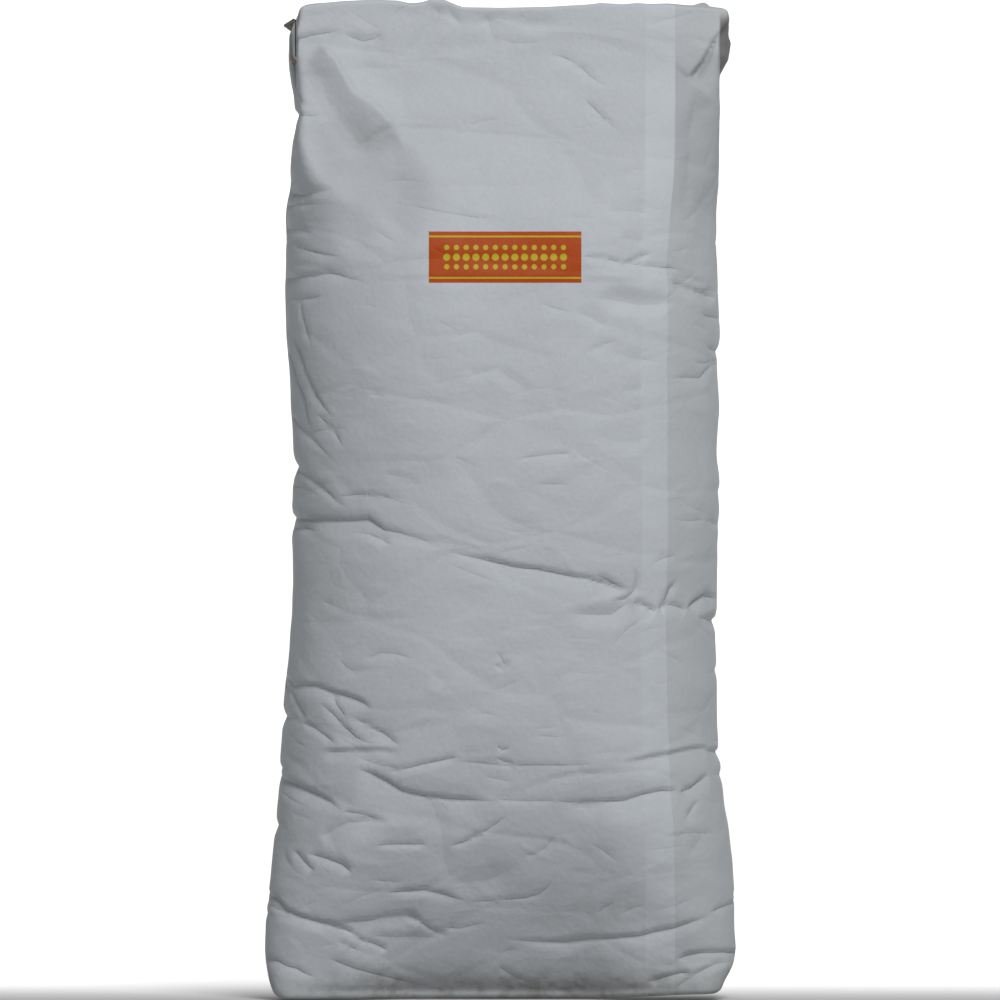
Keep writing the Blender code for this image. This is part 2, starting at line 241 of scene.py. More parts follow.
     (344, 809)), (-5.4, 9), (-5.4, 10), (0.3, 0.15, 1)),
    ("shin notch", ((230, 762), (262, 766), (280, 768), (292, 770)), (-3, 9), (-3, 8), (0.3, 0.4, 1)),
    ("calf fold", ((320, 836), (336, 825), (350, 820), (370, 819), (390, 821)), (-4.7, 11), (-4.7, 19),
     (0.15, 0.3, 0.5)),
    ("calf band", ((342, 809), (360, 812), (378, 817), (392, 822)), (-2, 5), (-2, 6), (0.2, 0.3, 1)),
    ("calf tick", ((374, 843), (392, 842.5), (410, 842), (427, 842.5)), (-2, 5), (-2, 5), (0.3, 0.1, 1)),
    ("calf dart a", ((294, 848), (303, 858), (309, 864), (316, 869)), (-2.8, 9), (-2.8, 7),
     (0.25, 0.15, 1)),
    ("calf dart b", ((308, 852), (326, 856), (342, 862), (353, 870)), (-3.6, 12), (-3.6, 7),
     (0.2, 0.12, 1)),
    ("calf ridge", ((342, 847), (352, 858), (372, 862), (400, 864)), (2.4, 7), (2.4, 9), (0.2, 0.5, 1)),
    ("calf side", ((283, 846), (288, 858), (298, 872)), (1.2, 9), (-1.2, 9), (0.3, 0.4, 0.3)),
    ("shin valley", ((430, 794), (438, 815), (442, 832), (444, 852), (448, 868), (456, 880)), (-3, 12),
     (-3, 19), (0.2, 0.3, 0.2)),
    ("shin thread", ((448, 844), (465, 840), (481, 831), (495, 822), (507, 813)), (-1.8, 6), (-1.8, 6),
     (0.2, 0.3, 1)),
    ("ankle fold", ((448, 878), (466, 879.5), (485, 879), (500, 873), (520, 861)), (-4, 16), (-4, 19),
     (0.25, 0.4, 0.2)),
    ("ankle line", ((386, 890), (410, 889), (426, 888.5), (440, 891), (455, 896), (470, 900)), (-3, 6),
     (-3, 6), (0.3, 0.35, 1)),
    ("ankle thread", ((470, 900), (500, 899), (525, 896), (540, 891), (548, 884), (557, 871)), (-1.4, 6),
     (-1.4, 7), (0.2, 0.3, 1)),
    ("ankle thread up", ((524, 854), (540, 850), (548, 842), (555, 831)), (-1.4, 6), (-1.4, 7),
     (0.2, 0.3, 1)),
    ("instep fold", ((215, 888), (248, 891), (267, 894), (277, 899), (286, 909), (300, 915), (318, 920),
     (334, 923.5), (347, 928), (356, 933), (366, 938)), (-4.6, 6), (-4.6, 8), (0.25, 0.12, 1)),
    ("instep fold end", ((352, 933), (362, 938), (372, 941), (380, 944.5), (388, 949)), (-3.6, 6),
     (-3.6, 6), (0.2, 0.15, 1)),
    ("instep nick", ((262, 905), (272, 905), (288, 911)), (-1.8, 4), (-1.8, 4), (0.2, 0.3, 1)),
    ("heel fold", ((336, 922), (355, 920), (370, 918), (385, 915.5), (400, 914), (412, 914), (422, 918)),
     (-3.6, 10), (-5, 16), (0.25, 0.15, 0.5)),
    ("heel run", ((404, 908), (413, 914), (421, 920), (430, 927), (440, 931), (452, 936)), (-3, 5), (-3, 6),
     (0.2, 0.3, 1)),
    ("heel band", ((360, 933), (390, 934.5), (420, 935.5), (446, 937.5)), (-2.4, 9), (-2.4, 9),
     (0.3, 0.3, 0.4)),
    ("heel smudge", ((440, 926), (460, 927), (485, 921)), (-1.2, 6), (-1.2, 7), (0.3, 0.3, 1)),
    ("toe line", ((262, 958), (277, 960), (286, 964), (296, 967), (306, 971), (318, 976)), (-2.6, 6),
     (-2.6, 7), (0.2, 0.2, 1)),
    ("toe ridge", ((316, 978), (332, 982), (350, 985), (370, 982)), (1.4, 7), (1.4, 6), (0.2, 0.3, 1)),
    ("toe run", ((326, 952), (338, 960), (355, 967), (380, 974), (410, 982), (445, 990)), (-2.6, 7),
     (-2.6, 11), (0.2, 0.3, 1)),
    ("toe smudge", ((338, 938), (350, 944), (362, 949)), (-1.4, 7), (-1.4, 7), (0.3, 0.3, 1)),
    ("toe thread", ((498, 964), (508, 971), (518, 977), (530, 982)), (-1.4, 5), (-1.4, 5), (0.2, 0.3, 1)),
    ("knee lip right", ((616, 761), (635, 758), (652, 755), (668, 752.5), (682, 749), (698, 746.5),
     (708, 748)), (2.6, 10), (-5.4, 13), (0.25, 0.15, 1)),
    ("knee side", ((700, 746), (708, 750), (716, 751), (745, 753), (790, 755)), (-4.6, 8), (-4.6, 8),
     (0.2, 0.4, 1)),
    ("knee dip right", ((542, 778), (570, 774), (604, 769)), (-1.2, 7), (-1.2, 6), (0.4, 0.4, 0.3)),
    ("shin fold right", ((552, 799), (580, 800.5), (605, 799.5), (625, 798), (642, 792.5), (660, 789),
     (678, 788.5)), (-5.4, 13), (-5.4, 18), (0.3, 0.12, 1)),
    ("shin vee", ((676, 792), (690, 787), (700, 780), (708, 772)), (-4, 9), (-4, 9), (0.2, 0.3, 1)),
    ("shin dart", ((697, 798), (690, 808), (684, 819)), (-2.4, 7), (-2.4, 5), (0.3, 0.3, 1)),
    ("calf run right", ((702, 832), (694, 844), (686, 857)), (-1.8, 8), (-1.8, 8), (0.4, 0.4, 0.2)),
    ("foot fold right", ((495, 937), (530, 940), (566, 940.5), (590, 937.5), (615, 936), (640, 934),
     (652, 930.5), (675, 925), (695, 919), (714, 913)), (-2.6, 6), (-4, 10), (0.35, 0.2, 1)),
    ("foot fold side", ((706, 913), (720, 907), (735, 902), (770, 898)), (-2, 6), (-2, 7), (0.2, 0.4, 1)),
    ("foot pleat a", ((673, 962), (680, 957), (688, 953.5), (700, 952), (714, 951.5), (726, 952),
     (750, 954)), (-4.6, 8), (-4.6, 11), (0.15, 0.3, 1)),
    ("foot pleat b", ((646, 982), (660, 978), (671, 975), (681, 973), (690, 974)), (-5, 12), (-5, 9),
     (0.2, 0.15, 1)),
    ("foot pleat c", ((674, 990), (683, 982), (693, 975), (704, 969), (716, 963), (728, 962)), (-2.8, 6),
     (-2.8, 7), (0.15, 0.2, 1)),
    ("foot thread a", ((596, 911), (606, 904), (614, 900)), (-1, 5), (-1, 5), (0.3, 0.3, 1)),
    ("foot thread b", ((620, 912), (632, 905), (642, 903)), (-1, 5), (-1, 5), (0.3, 0.3, 1)),
    ("foot thread c", ((560, 868), (580, 870), (602, 873)), (-0.9, 7), (-0.9, 6), (0.4, 0.4, 0.3)),
    ("dent high up", ((496, 650), (501, 656), (506, 668)), (-1.4, 5), (-1.4, 5), (0.3, 0.3, 1)),
    ("dent high low", ((494, 662), (501, 667), (509, 660)), (-2.2, 4), (-2.2, 4), (0.3, 0.3, 1)),
    ("dent low up", ((496, 743), (502, 748), (509, 745)), (-1.8, 3), (-1.8, 3), (0.3, 0.3, 1)),
    ("dent low", ((497, 755), (504, 760), (514, 762)), (-2.4, 4), (-2.4, 4), (0.3, 0.3, 1)),
    ("ear facet", ((318, 44), (335, 60), (347, 81), (355, 95), (373, 104), (392, 124), (408, 156)), (9, 18),
     (20, 38), (0.12, 0.3, 0.9)),
    ("ear facet low", ((308, 60), (316, 84), (326, 108), (340, 128), (372, 170)), (-7, 26), (-5.5, 14),
     (0.3, 0.35, 0)),
    ("waist fold", ((225, 512), (262, 516), (296, 519), (315, 520), (335, 521), (352, 521), (367, 520),
     (374, 524), (384, 530), (400, 533), (420, 538), (440, 547), (455, 553)), (-6.5, 12), (-6.5, 16),
     (0.2, 0.4, 1)),
    ("belly fold", ((436, 549), (460, 554), (480, 559), (500, 563), (514, 567), (537, 569), (566, 575),
     (590, 578), (608, 584), (624, 591)), (-4.4, 8), (-5.2, 18), (0.35, 0.1, 1)),
    ("belly recess", ((566, 611), (590, 614), (612, 614), (624, 606), (634, 598)), (-7, 14), (-5, 12),
     (0.35, 0.15, 0.6)),
    ("right shoulder", ((690, 92), (687, 125), (684, 180), (684, 230)), (-6, 32), (-2, 8),
     (0.15, 0.5, 0.3)),
    ("belly pinch", ((593, 574), (605, 579), (618, 585), (630, 594)), (-4.2, 9), (-4, 8), (0.3, 0.3, 1)),
    ("side slope", ((312, 204), (440, 202)), (-12, 65), (-12, 55), (0.4, 0.35, 0)),
    ("shoulder slope", ((590, 258), (716, 266)), (-8.5, 90), (-8.5, 26), (0.4, 0.3, 0)),
)

# How much of the height that a fold seems to have is real, and how much wider than they look its
# slopes are: for a lip that stands out, for a soft hollow, and for a crisp hollow above and below
# its line. The last two are how much narrower and wider a crisp hollow's slopes are than a soft's
LIP_HEIGHT, LIP_WIDTH = 0.5, 1.4
SOFT_HEIGHT, SOFT_WIDTH = 0.55, 1.3
CRISP_HEIGHT_ABOVE, CRISP_HEIGHT_BELOW = 0.38, 0.74
NARROWER_ABOVE, WIDER_BELOW = 0.2, 0.1

# The folds of the back, invented. They are seen from the front through the sack and written the
# same way, but in millimetres and at their real heights
BACK_FOLDS = (
    ("hem", ((-150, 815), (-60, 806), (30, 811), (140, 803)), (-1.2, 12), (-1.2, 16), (0.2, 0.3, 1)),
    ("ear valley left", ((-170, 812), (-150, 765), (-100, 700), (-50, 660)), (-2.7, 30), (-2.7, 18),
     (0.1, 0.6, 0)),
    ("ear valley right", ((184, 815), (160, 765), (120, 705), (70, 668)), (-2.7, 18), (-2.7, 30),
     (0.1, 0.6, 0)),
    ("shoulder crease", ((-120, 700), (-40, 690), (60, 702), (130, 694)), (-1.5, 10), (-1.5, 18),
     (0.3, 0.4, 1)),
    ("side pinch left", ((-230, 642), (-180, 640), (-120, 648)), (-3.7, 18), (-3.7, 12), (0.4, 0.2, 1)),
    ("side pinch right", ((90, 655), (150, 648), (190, 645), (240, 640)), (-3.7, 17), (-3.7, 10),
     (0.2, 0.4, 1)),
    ("breast crease", ((-90, 596), (-20, 588), (50, 594), (110, 604)), (-1.6, 12), (-1.6, 20),
     (0.3, 0.3, 1)),
    ("breast strand left", ((-175, 590), (-160, 550), (-130, 505)), (-2.1, 10), (-2.1, 13), (0.2, 0.4, 1)),
    ("breast strand right", ((176, 600), (160, 560), (136, 520)), (-2.1, 13), (-2.1, 10), (0.2, 0.4, 1)),
    ("waist fold left", ((-250, 455), (-175, 452), (-120, 446), (-70, 436)), (-4.3, 16), (-4.3, 20),
     (0.3, 0.2, 1)),
    ("waist fold right", ((20, 410), (80, 418), (150, 428), (190, 430), (250, 432)), (-4.3, 14), (-4.3, 22),
     (0.3, 0.4, 1)),
    ("waist run", ((-70, 438), (-30, 424), (24, 412)), (-2.1, 10), (-2.1, 13), (0.2, 0.2, 1)),
    ("waist tick", ((-60, 500), (-20, 505), (20, 503)), (-1.1, 5), (-1.1, 8), (0.3, 0.2, 1)),
    ("belly fold", ((-130, 350), (-60, 338), (10, 342), (60, 336)), (-2.7, 13), (-2.7, 23), (0.3, 0.3, 1)),
    ("belly hook", ((60, 336), (80, 326), (84, 312)), (-2, 8), (-2, 8), (0.2, 0.4, 1)),
    ("hip fold right", ((70, 262), (120, 274), (165, 280), (195, 280), (250, 276)), (-3.5, 10), (-3.5, 13),
     (0.2, 0.4, 1)),
    ("hip run right", ((100, 250), (140, 236), (170, 214)), (-2, 9), (-2, 9), (0.2, 0.3, 1)),
    ("hip fold left", ((-260, 238), (-190, 240), (-140, 228), (-90, 212)), (-3.5, 10), (-3.5, 12),
     (0.3, 0.2, 1)),
    ("hip lip", ((-60, 226), (0, 230), (60, 224)), (1.4, 13), (-2.5, 14), (0.3, 0.3, 1)),
    ("shin fold", ((-120, 168), (-50, 160), (30, 172), (110, 168)), (-4.3, 18), (-4.3, 26), (0.2, 0.3, 1)),
    ("shin side right", ((110, 168), (160, 182), (198, 190), (260, 192)), (-3.2, 10), (-3.2, 12),
     (0.2, 0.4, 1)),
    ("shin side left", ((-260, 150), (-198, 146), (-150, 130)), (-3.2, 10), (-3.2, 12), (0.4, 0.2, 1)),
    ("calf valley", ((20, 160), (14, 130), (24, 104)), (-2.2, 16), (-2.2, 18), (0.3, 0.4, 1)),
    ("ankle fold", ((-130, 96), (-60, 88), (0, 96), (50, 104)), (-3.1, 12), (-3.1, 17), (0.3, 0.3, 1)),
    ("instep fold", ((70, 66), (120, 78), (170, 84), (200, 88), (260, 90)), (-3.5, 9), (-3.5, 12),
     (0.15, 0.4, 1)),
    ("instep left", ((-260, 74), (-199, 70), (-150, 56), (-110, 46)), (-3.5, 9), (-3.5, 12),
     (0.3, 0.15, 1)),
    ("toe run left", ((-190, 34), (-150, 24), (-100, 14)), (-2, 8), (-2, 9), (0.2, 0.3, 1)),
    ("toe run right", ((110, 16), (160, 28), (195, 36)), (-2, 8), (-2, 9), (0.2, 0.3, 1)),
)

# How hollow a fold's slopes are, how wide the turn is between them, how narrow the fold is at
# its ends, and into how many steps each stretch of its line is cut
FOLD_CURVE = 1.5
FOLD_EDGE = 0.0034
FOLD_END_WIDTH = 0.35
LINE_STEPS = 5

# The sharp crease along a fold's line: how far from it distances are kept, the share of that
# where it is drawn, its depth for each millimetre of the fold, and its least and greatest
# depth in millimetres
CREASE_REACH = 0.016
CREASE_DRAWN = 0.6
CREASE_SHARE = 0.40
CREASE_DEPTH = 0.12, 0.55

# Faint creases from handling, on top of the folds: how many on each face, where, their lengths,
# slopes, sag and reaches in millimetres, and the shares of them that sink and that stand out
FAINT_CREASES = 140
FAINT_X, FAINT_Z = (-190, 190), (20, 835)
FAINT_LENGTH = (6, 26)
FAINT_SLOPE = 0.45
FAINT_DEPTH = (0.15, 0.75)
FAINT_REACH = (4, 11)
FAINT_SAG = 0.15
FAINT_SINK = (0.7, 0.3)
FAINT_ABOVE = 0.4
FAINT_ENDS = (0.4, 0.4, 1)

# Where the foot rolls under between its corners: the middle, and for its long and its short curve
# the half length, the height it reaches up to and how far it draws in. Then the height it starts
# from, how short its ends are and how round it is, up to 1 for a quarter circle
ROLL_MIDDLE = -0.007
ROLLS = ((0.125, 0.220, 0.036), (0.200, 0.040, 0.034))
ROLL_FROM = 0.008
ROLL_ENDS = 2.1
ROLL_ROUND = 0.98

# The right end of the foot curls up off the floor
LIFT_FROM, LIFT_LENGTH = 0.060, 0.125
LIFT = 0.0045
LIFT_TOP = 0.060

# The line of the front's top edge passes into the back's over this depth, and the tube follows
# them from this height up
EDGE_BLEND = 0.08
TOP_EDGE_FROM = 0.775

# Broad unevenness of the filled paper: size of its swells and how far they stand out, how much
# closer they lie along each axis, and the cells each way before they repeat
SWELLS = ((0.110, 0.0020), (0.045, 0.0011), (0.020, 0.00045))
SWELL_STRETCH = (0.75, 1.0, 1.35)
SWELL_LATTICE = 64

# The relief dies away this near the foot and the top edge
CALM_EDGE = 0.012

# The rows up a panel, its columns, and the steps round its corners and its folds at foot and top
ROW_SPACING = 0.0022
FRONT_COLUMNS = 228
BACK_COLUMNS = 180
CORNER_STEPS = 24
FOOT_STEPS, TOP_STEPS = 6, 4

# The depth is found between these limits by halving this often
DEPTH_LIMITS = (0.02, 0.20)
DEPTH_HALVINGS = 30


def smooth(share):
    share = np.clip(share, 0, 1)
    return share * share * (3 - 2 * share)


def quarter_ellipse(a, b):
    """Length of a quarter of an ellipse with the half axes a and b."""
    return math.pi / 4 * (3 * (a + b) - np.sqrt((3 * a + b) * (a + 3 * b)))


def tube_size(z):
    """Reach left and right, half depth, how far the left and the right corner run along the front,
    and how far both run along the sides, at heights z. The curve through the stations is smooth,
    and the girth settles the depth."""
    low = np.clip(np.searchsorted(STATIONS[:, 0], z, side="right") - 1, 0, len(STATIONS) - 2)
    start, end, slopes = STATIONS[low], STATIONS[low + 1], np.gradient(STATIONS, STATIONS[:, 0], axis=0)
    gap = (end - start)[..., :1]
    share = (z[..., None] - start[..., :1]) / gap
    row = (
        smooth(1 - share) * start
        + smooth(share) * end
        + gap * share * (1 - share) ** 2 * slopes[low]
        - gap * share**2 * (1 - share) * slopes[low + 1]
    )
    left, right, left_corner, right_corner, taken, taut = (row[..., k] for k in range(1, 7))
    shallow, deep = (np.full_like(left, limit) for limit in DEPTH_LIMITS)
    for _ in range(DEPTH_HALVINGS):
        depth = (shallow + deep) / 2
        straight = 2 * depth * (1 - taken) + left + right - left_corner - right_corner
        curved = sum(quarter_ellipse(corner, depth * taken) for corner in (left_corner, right_corner))
        slack = straight + curved < TUBE_GIRTH * taut / 2
        shallow, deep = np.where(slack, depth, shallow), np.where(slack, deep, depth)
    return left, right, depth, left_corner, right_corner, depth * taken


def half_outlines(z):
    """The front half of the tube at each height z, as points from its left edge to its right:
    x, y, the facing and the distance along the paper."""
    left, right, depth, along_left, along_right, across = (part[:, None] for part in tube_size(z))
    turn = np.linspace(0, math.pi / 2, CORNER_STEPS + 1)[None, :]
    edge = np.zeros_like(left)
    x = [-left, -left + along_left * (1 - np.cos(turn)),
         right - along_right * (1 - np.sin(turn)), right]
    y = [edge, across * (1 - np.sin(turn)) - depth, across * (1 - np.cos(turn)) - depth, edge]
    face_x = [edge - 1, -across * np.cos(turn), across * np.sin(turn), edge + 1]
    face_y = [edge, -along_left * np.sin(turn), -along_right * np.cos(turn), edge]
    x, y, face_x, face_y = (np.concatenate(part, 1) for part in (x, y, face_x, face_y))
    long = np.hypot(face_x, face_y)
    steps = np.hypot(np.diff(x, axis=1), np.diff(y, axis=1))
    way = np.concatenate([edge, np.cumsum(steps, 1)], 1)
    return x, y, face_x / long, face_y / long, way


def middle_of(x, way):
    """Distance along the paper from the left edge to x = 0."""
    return np.array([np.interp(0, row_x, row_way) for row_x, row_way in zip(x, way)])


def on_paper(x, z):
    """Distance along the paper from the front's middle line to a point seen at x, at height z."""
    points, _, _, _, way = half_outlines(z)
    place = []
    for at, row, along, middle in zip(x, points, way, middle_of(points, way)):
        beyond = min(at - row[0], 0) + max(at - row[-1], 0)
        place.append(np.interp(at, row[1:-1], along[1:-1]) + beyond - middle)
    return np.array(place)


def real_fold(name, line, above, below, ends):
    """A fold of the front in millimetres, at its real height."""
    (height_above, reach_above), (height_below, reach_below), crisp = above, below, ends[2]
    if height_above > 0:
        share_above = share_below = LIP_HEIGHT
        wide_above = wide_below = LIP_WIDTH
    else:
        share_above = SOFT_HEIGHT * (1 - crisp) + CRISP_HEIGHT_ABOVE * crisp
        share_below = SOFT_HEIGHT * (1 - crisp) + CRISP_HEIGHT_BELOW * crisp
        wide_above = SOFT_WIDTH - NARROWER_ABOVE * crisp
        wide_below = SOFT_WIDTH + WIDER_BELOW * crisp
    line = [(round((x - PHOTO_MIDDLE) * MM_PER_PIXEL), round((PHOTO_FLOOR - y) * MM_PER_PIXEL))
            for x, y in line]
    above = round(height_above * share_above, 1), round(reach_above * wide_above * MM_PER_PIXEL)
    below = round(height_below * share_below, 1), round(reach_below * wide_below * MM_PER_PIXEL)
    return name, line, above, below, ends


def laid_out(folds):
    """The folds with their lines as points on the flat paper."""
    laid = []
    for _, line, above, below, ends in folds:
        line = np.array(line, float) / 1000
        steps = np.linspace(0, len(line) - 1, LINE_STEPS * (len(line) - 1) + 1)
        line_x, line_z = (np.interp(steps, range(len(line)), line[:, k]) for k in (0, 1))
        laid.append((np.stack([on_paper(line_x, line_z), line_z], 1), above, below, ends))
    return laid


def faint_creases(seed):
    """Short shallow creases strewn over a face, mostly lying level."""
    rng = np.random.default_rng(seed)
    creases = []
    for _ in range(FAINT_CREASES):
        x, z = rng.uniform(*FAINT_X), rng.uniform(*FAINT_Z)
        half = rng.uniform(*FAINT_LENGTH)
        slope = rng.normal(0, FAINT_SLOPE)
        sag = rng.uniform(-FAINT_SAG, FAINT_SAG) * half
        line = ((x - half, z - slope * half), (x, z + sag), (x + half, z + slope * half))
        depth = rng.uniform(*FAINT_DEPTH) * rng.choice((-1, 1), p=FAINT_SINK)
        reaches = rng.uniform(*FAINT_REACH, 2)
        above, below = (FAINT_ABOVE * depth, reaches[0]), (depth, reaches[1])
        creases.append(("faint", line, above, below, FAINT_ENDS))
    return creases


def fold_relief(along, z, laid, creases):
    """How far the folds lift or sink the paper at points (along, z) of a panel. Fills in creases:
    the distance in millimetres to the nearest fold line, positive above it, how deep its crease
    is and its number."""
    relief = np.zeros_like(z)
    for number, (path, (above, reach_up), (below, reach_down), ends) in enumerate(laid, 1):
        fade_in, fade_out, crisp = ends
        reach = max(0.001 * reach_up, 0.001 * reach_down, CREASE_REACH)
        low, high = path.min(0) - reach, path.max(0) + reach
        near = (along > low[0]) & (along < high[0]) & (z > low[1]) & (z < high[1])
        if not near.any():
            continue
        point = np.stack([along[near], z[near]], 1)[:, None]
        start, run = path[:-1], np.diff(path, axis=0)
        length = np.hypot(run[:, 0], run[:, 1])
        share = np.clip(((point - start) * run).sum(2) / length**2, 0, 1)
        off = point - start - share[..., None] * run
        gap = np.hypot(off[..., 0], off[..., 1])
        best = gap.argmin(1)
        pick = np.arange(len(best)), best
        cross = run[best, 0] * off[pick][:, 1] - run[best, 1] * off[pick][:, 0]
        done = np.concatenate([[0], np.cumsum(length)])
        place = (done[best] + share[pick] * length[best]) / done[-1]
        strength = smooth(place / fade_in) * smooth((1 - place) / fade_out)
        width = FOLD_END_WIDTH + (1 - FOLD_END_WIDTH) * strength
        signed = np.copysign(gap[pick], cross)
        up = np.clip(1 - np.maximum(signed, 0) / (0.001 * reach_up * width), 0, 1)
        down = np.clip(1 - np.maximum(-signed, 0) / (0.001 * reach_down * width), 0, 1)
        up, down = (crisp * part**FOLD_CURVE + (1 - crisp) * smooth(part) for part in (up, down))
        side = smooth(signed / FOLD_EDGE)
        relief[near] += 0.001 * strength * (side * above * up + (1 - side) * below * down)
        sharp = crisp * strength**0.5 * np.clip(abs(below) * CREASE_SHARE, *CREASE_DEPTH)
        sharp = np.where(gap[pick] < CREASE_DRAWN * CREASE_REACH, sharp, 0) * (above < 0)
        nearest = creases[near]
        wins = gap[pick] < np.minimum(CREASE_REACH, np.abs(nearest[:, 0]) / 1000)
        nearest[wins] = np.stack([1000 * signed, sharp, np.full(len(best), number)], 1)[wins]
        creases[near] = nearest
    return relief


def part_creases(creases):
    """Ends a crease where the crease next to it lies on its other side."""
    for axis in (0, 1):
        here, beyond = np.moveaxis(creases, axis, 0)[:-1], np.moveaxis(creases, axis, 0)[1:]
        parted = (here[..., 2] != beyond[..., 2]) & (here[..., 0] * beyond[..., 0] < 0)
        here[..., 1][parted] = 0
        beyond[..., 1][parted] = 0


def swell(points, size, seed):
    """Smooth unevenness from -1 to 1 that changes over about the size given."""
    lattice = np.random.default_rng(seed).uniform(-1, 1, (SWELL_LATTICE,) * 3)
    place = points * SWELL_STRETCH / size + SWELL_LATTICE / 2
    cell = np.floor(place).astype(int)
    part = smooth(place - cell)
    total = 0
    for corner in np.ndindex(2, 2, 2):
        weight = np.prod(np.where(corner, part, 1 - part), axis=-1)
        index = (cell + corner) % SWELL_LATTICE
        total = total + weight * lattice[index[..., 0], index[..., 1], index[..., 2]]
    return total


def panel_rows():
    """Heights of the rows of a panel, and how far the folds at foot and top draw each row in."""
    turn = np.linspace(0, math.pi / 2, FOOT_STEPS + 1)[:-1]
    foot = FOOT_HEIGHT + FOOT_FOLD * (1 - np.cos(turn))
    foot_in = FOOT_FOLD * (1 - np.sin(turn))
    wall_low, wall_high = FOOT_HEIGHT + FOOT_FOLD, TUBE_TOP - TOP_FOLD
    wall = np.linspace(wall_low, wall_high, round((wall_high - wall_low) / ROW_SPACING))
    turn = np.linspace(math.pi / 2, 0, TOP_STEPS + 1)[1:]
    top = TUBE_TOP - TOP_FOLD * (1 - np.cos(turn))
    top_in = TOP_FOLD * (1 - np.sin(turn))
    return np.concatenate([foot, wall, top]), np.concatenate([foot_in, 0 * wall, top_in])


# The block's end, through from its front 0 to its back 1: where its back corner starts to stand
# out and over how much, the same for the stiff strip under the top edge, the height of that
# strip's lower edge, its share of the corner and how much less it is folded in, and how narrow
# the fold between the corners is
EAR_TURN, EAR_RISE = 0.62, 0.22
STRIP_TURN, STRIP_RISE = 0.09, 0.018
STRIP_FROM, STRIP_EDGE = 0.795, 0.006
STRIP_SHARE = 0.58
STRIP_STIFF = 0.7
FOLD_NARROW = 1.5

# How far a point has to face along X to belong to the block's end, from none of it to all
END_FROM, END_SPAN = 0.2, 0.6


def ear_shift(z, through, table):
    """How far an end of the block stands out at height z, through from its front 0 to its back 1:
    folded in between the corners and further out at the back one."""
    out, inward = (np.interp(z, table[:, 0], table[:, k]) / 1000 for k in (1, 2))
    strip = smooth((z - STRIP_FROM) / STRIP_EDGE)
    rise = smooth((through - EAR_TURN) / EAR_RISE)
    rise += strip * STRIP_SHARE * (smooth((through - STRIP_TURN) / STRIP_RISE) - rise)
    folded = np.clip(1 - FOLD_NARROW * np.abs(2 * through - 1), 0, 1)
    return out * rise - inward * (1 - STRIP_STIFF * strip) * folded


def rolled_under(x, z):
    """How far the foot is drawn in at points x of a face, at height z."""
    drawn = 0
    for half_length, height, depth in ROLLS:
        between = smooth(ROLL_ENDS * (1 - np.abs(x - ROLL_MIDDLE) / half_length))
        share = np.clip(1 - np.maximum(z, ROLL_FROM) / height, 0, 1)
        drawn = drawn + between * depth * (1 - np.sqrt(1 - ROLL_ROUND * share**2))
    return drawn


def set_down(points):
    """Brings the top edges to their uneven line and lifts the right end of the foot."""
    x, y, z = points[..., 0], points[..., 1], points[..., 2]
    front, back = (np.interp(x, edge[:, 0] / 1000, edge[:, 1] / 1000)
                   for edge in (FRONT_TOP_EDGE, BACK_TOP_EDGE))
    through = smooth(y / EDGE_BLEND + 0.5)
    share = np.clip((z - TOP_EDGE_FROM) / (TUBE_TOP - TOP_EDGE_FROM), 0, 1) ** 2
    rise = LIFT * smooth((x - LIFT_FROM) / LIFT_LENGTH) * np.clip(1 - z / LIFT_TOP, 0, 1) ** 2
    points[..., 2] = z + share * (front + (back - front) * through - TUBE_TOP) + rise
    return points


def build_panel(name, columns, facing, own_folds, other_folds):
    """Half of the tube between its two pressed edges. Facing is -1 for the front, 1 for the back."""
    heights, drawn_in = panel_rows()
    outline_x, outline_y, facing_x, facing_y, way = half_outlines(heights)
    middle, whole = middle_of(outline_x, way)[:, None], way[:, -1:]
    depth = -outline_y.min(1)[:, None]
    spread = np.linspace(0, 1, columns + 1)[None, :] * whole
    x, y, face_x, face_y = (
        np.array([np.interp(s, w, row) for s, w, row in zip(spread, way, part)])
        for part in (outline_x, outline_y, facing_x, facing_y)
    )
    z = np.broadcast_to(heights[:, None], x.shape)
    base = np.stack([x, -facing * y, z], -1)
    along = spread - middle
    creases = np.full(z.shape + (3,), (1000.0, 0.0, 0.0))
    relief = fold_relief(along, z, own_folds, creases)
    relief += fold_relief(-middle - spread, z, other_folds, creases)
    relief += fold_relief(2 * whole - middle - spread, z, other_folds, creases)
    part_creases(creases)
    for seed, (extent, height) in enumerate(SWELLS):
        relief += height * swell(base, extent, seed)
    relief *= smooth((z - FOOT_HEIGHT) / CALM_EDGE) * smooth((TUBE_TOP - z) / CALM_EDGE)
    relief -= np.abs(face_y) * rolled_under(x, z)
    relief -= drawn_in[:, None]
    base[..., 0] += face_x * relief
    base[..., 1] -= facing * face_y * relief
    at_end = smooth((np.abs(face_x) - END_FROM) / END_SPAN)
    through = np.clip(0.5 + base[..., 1] / (2 * depth), 0, 1)
    base[..., 0] -= (x < 0) * at_end * ear_shift(z, through, LEFT_EAR)
    base[..., 0] += (x > 0) * at_end * ear_shift(z, through, RIGHT_EAR)
    set_down(base)
    panel = mesh_of(name, base, np.stack([along, z], -1), flip=facing > 0)
    layer = panel.data.attributes.new("crease", "FLOAT_VECTOR", "POINT")
    layer.data.foreach_set("vector", creases.astype(np.float32).ravel())
    return panel, base


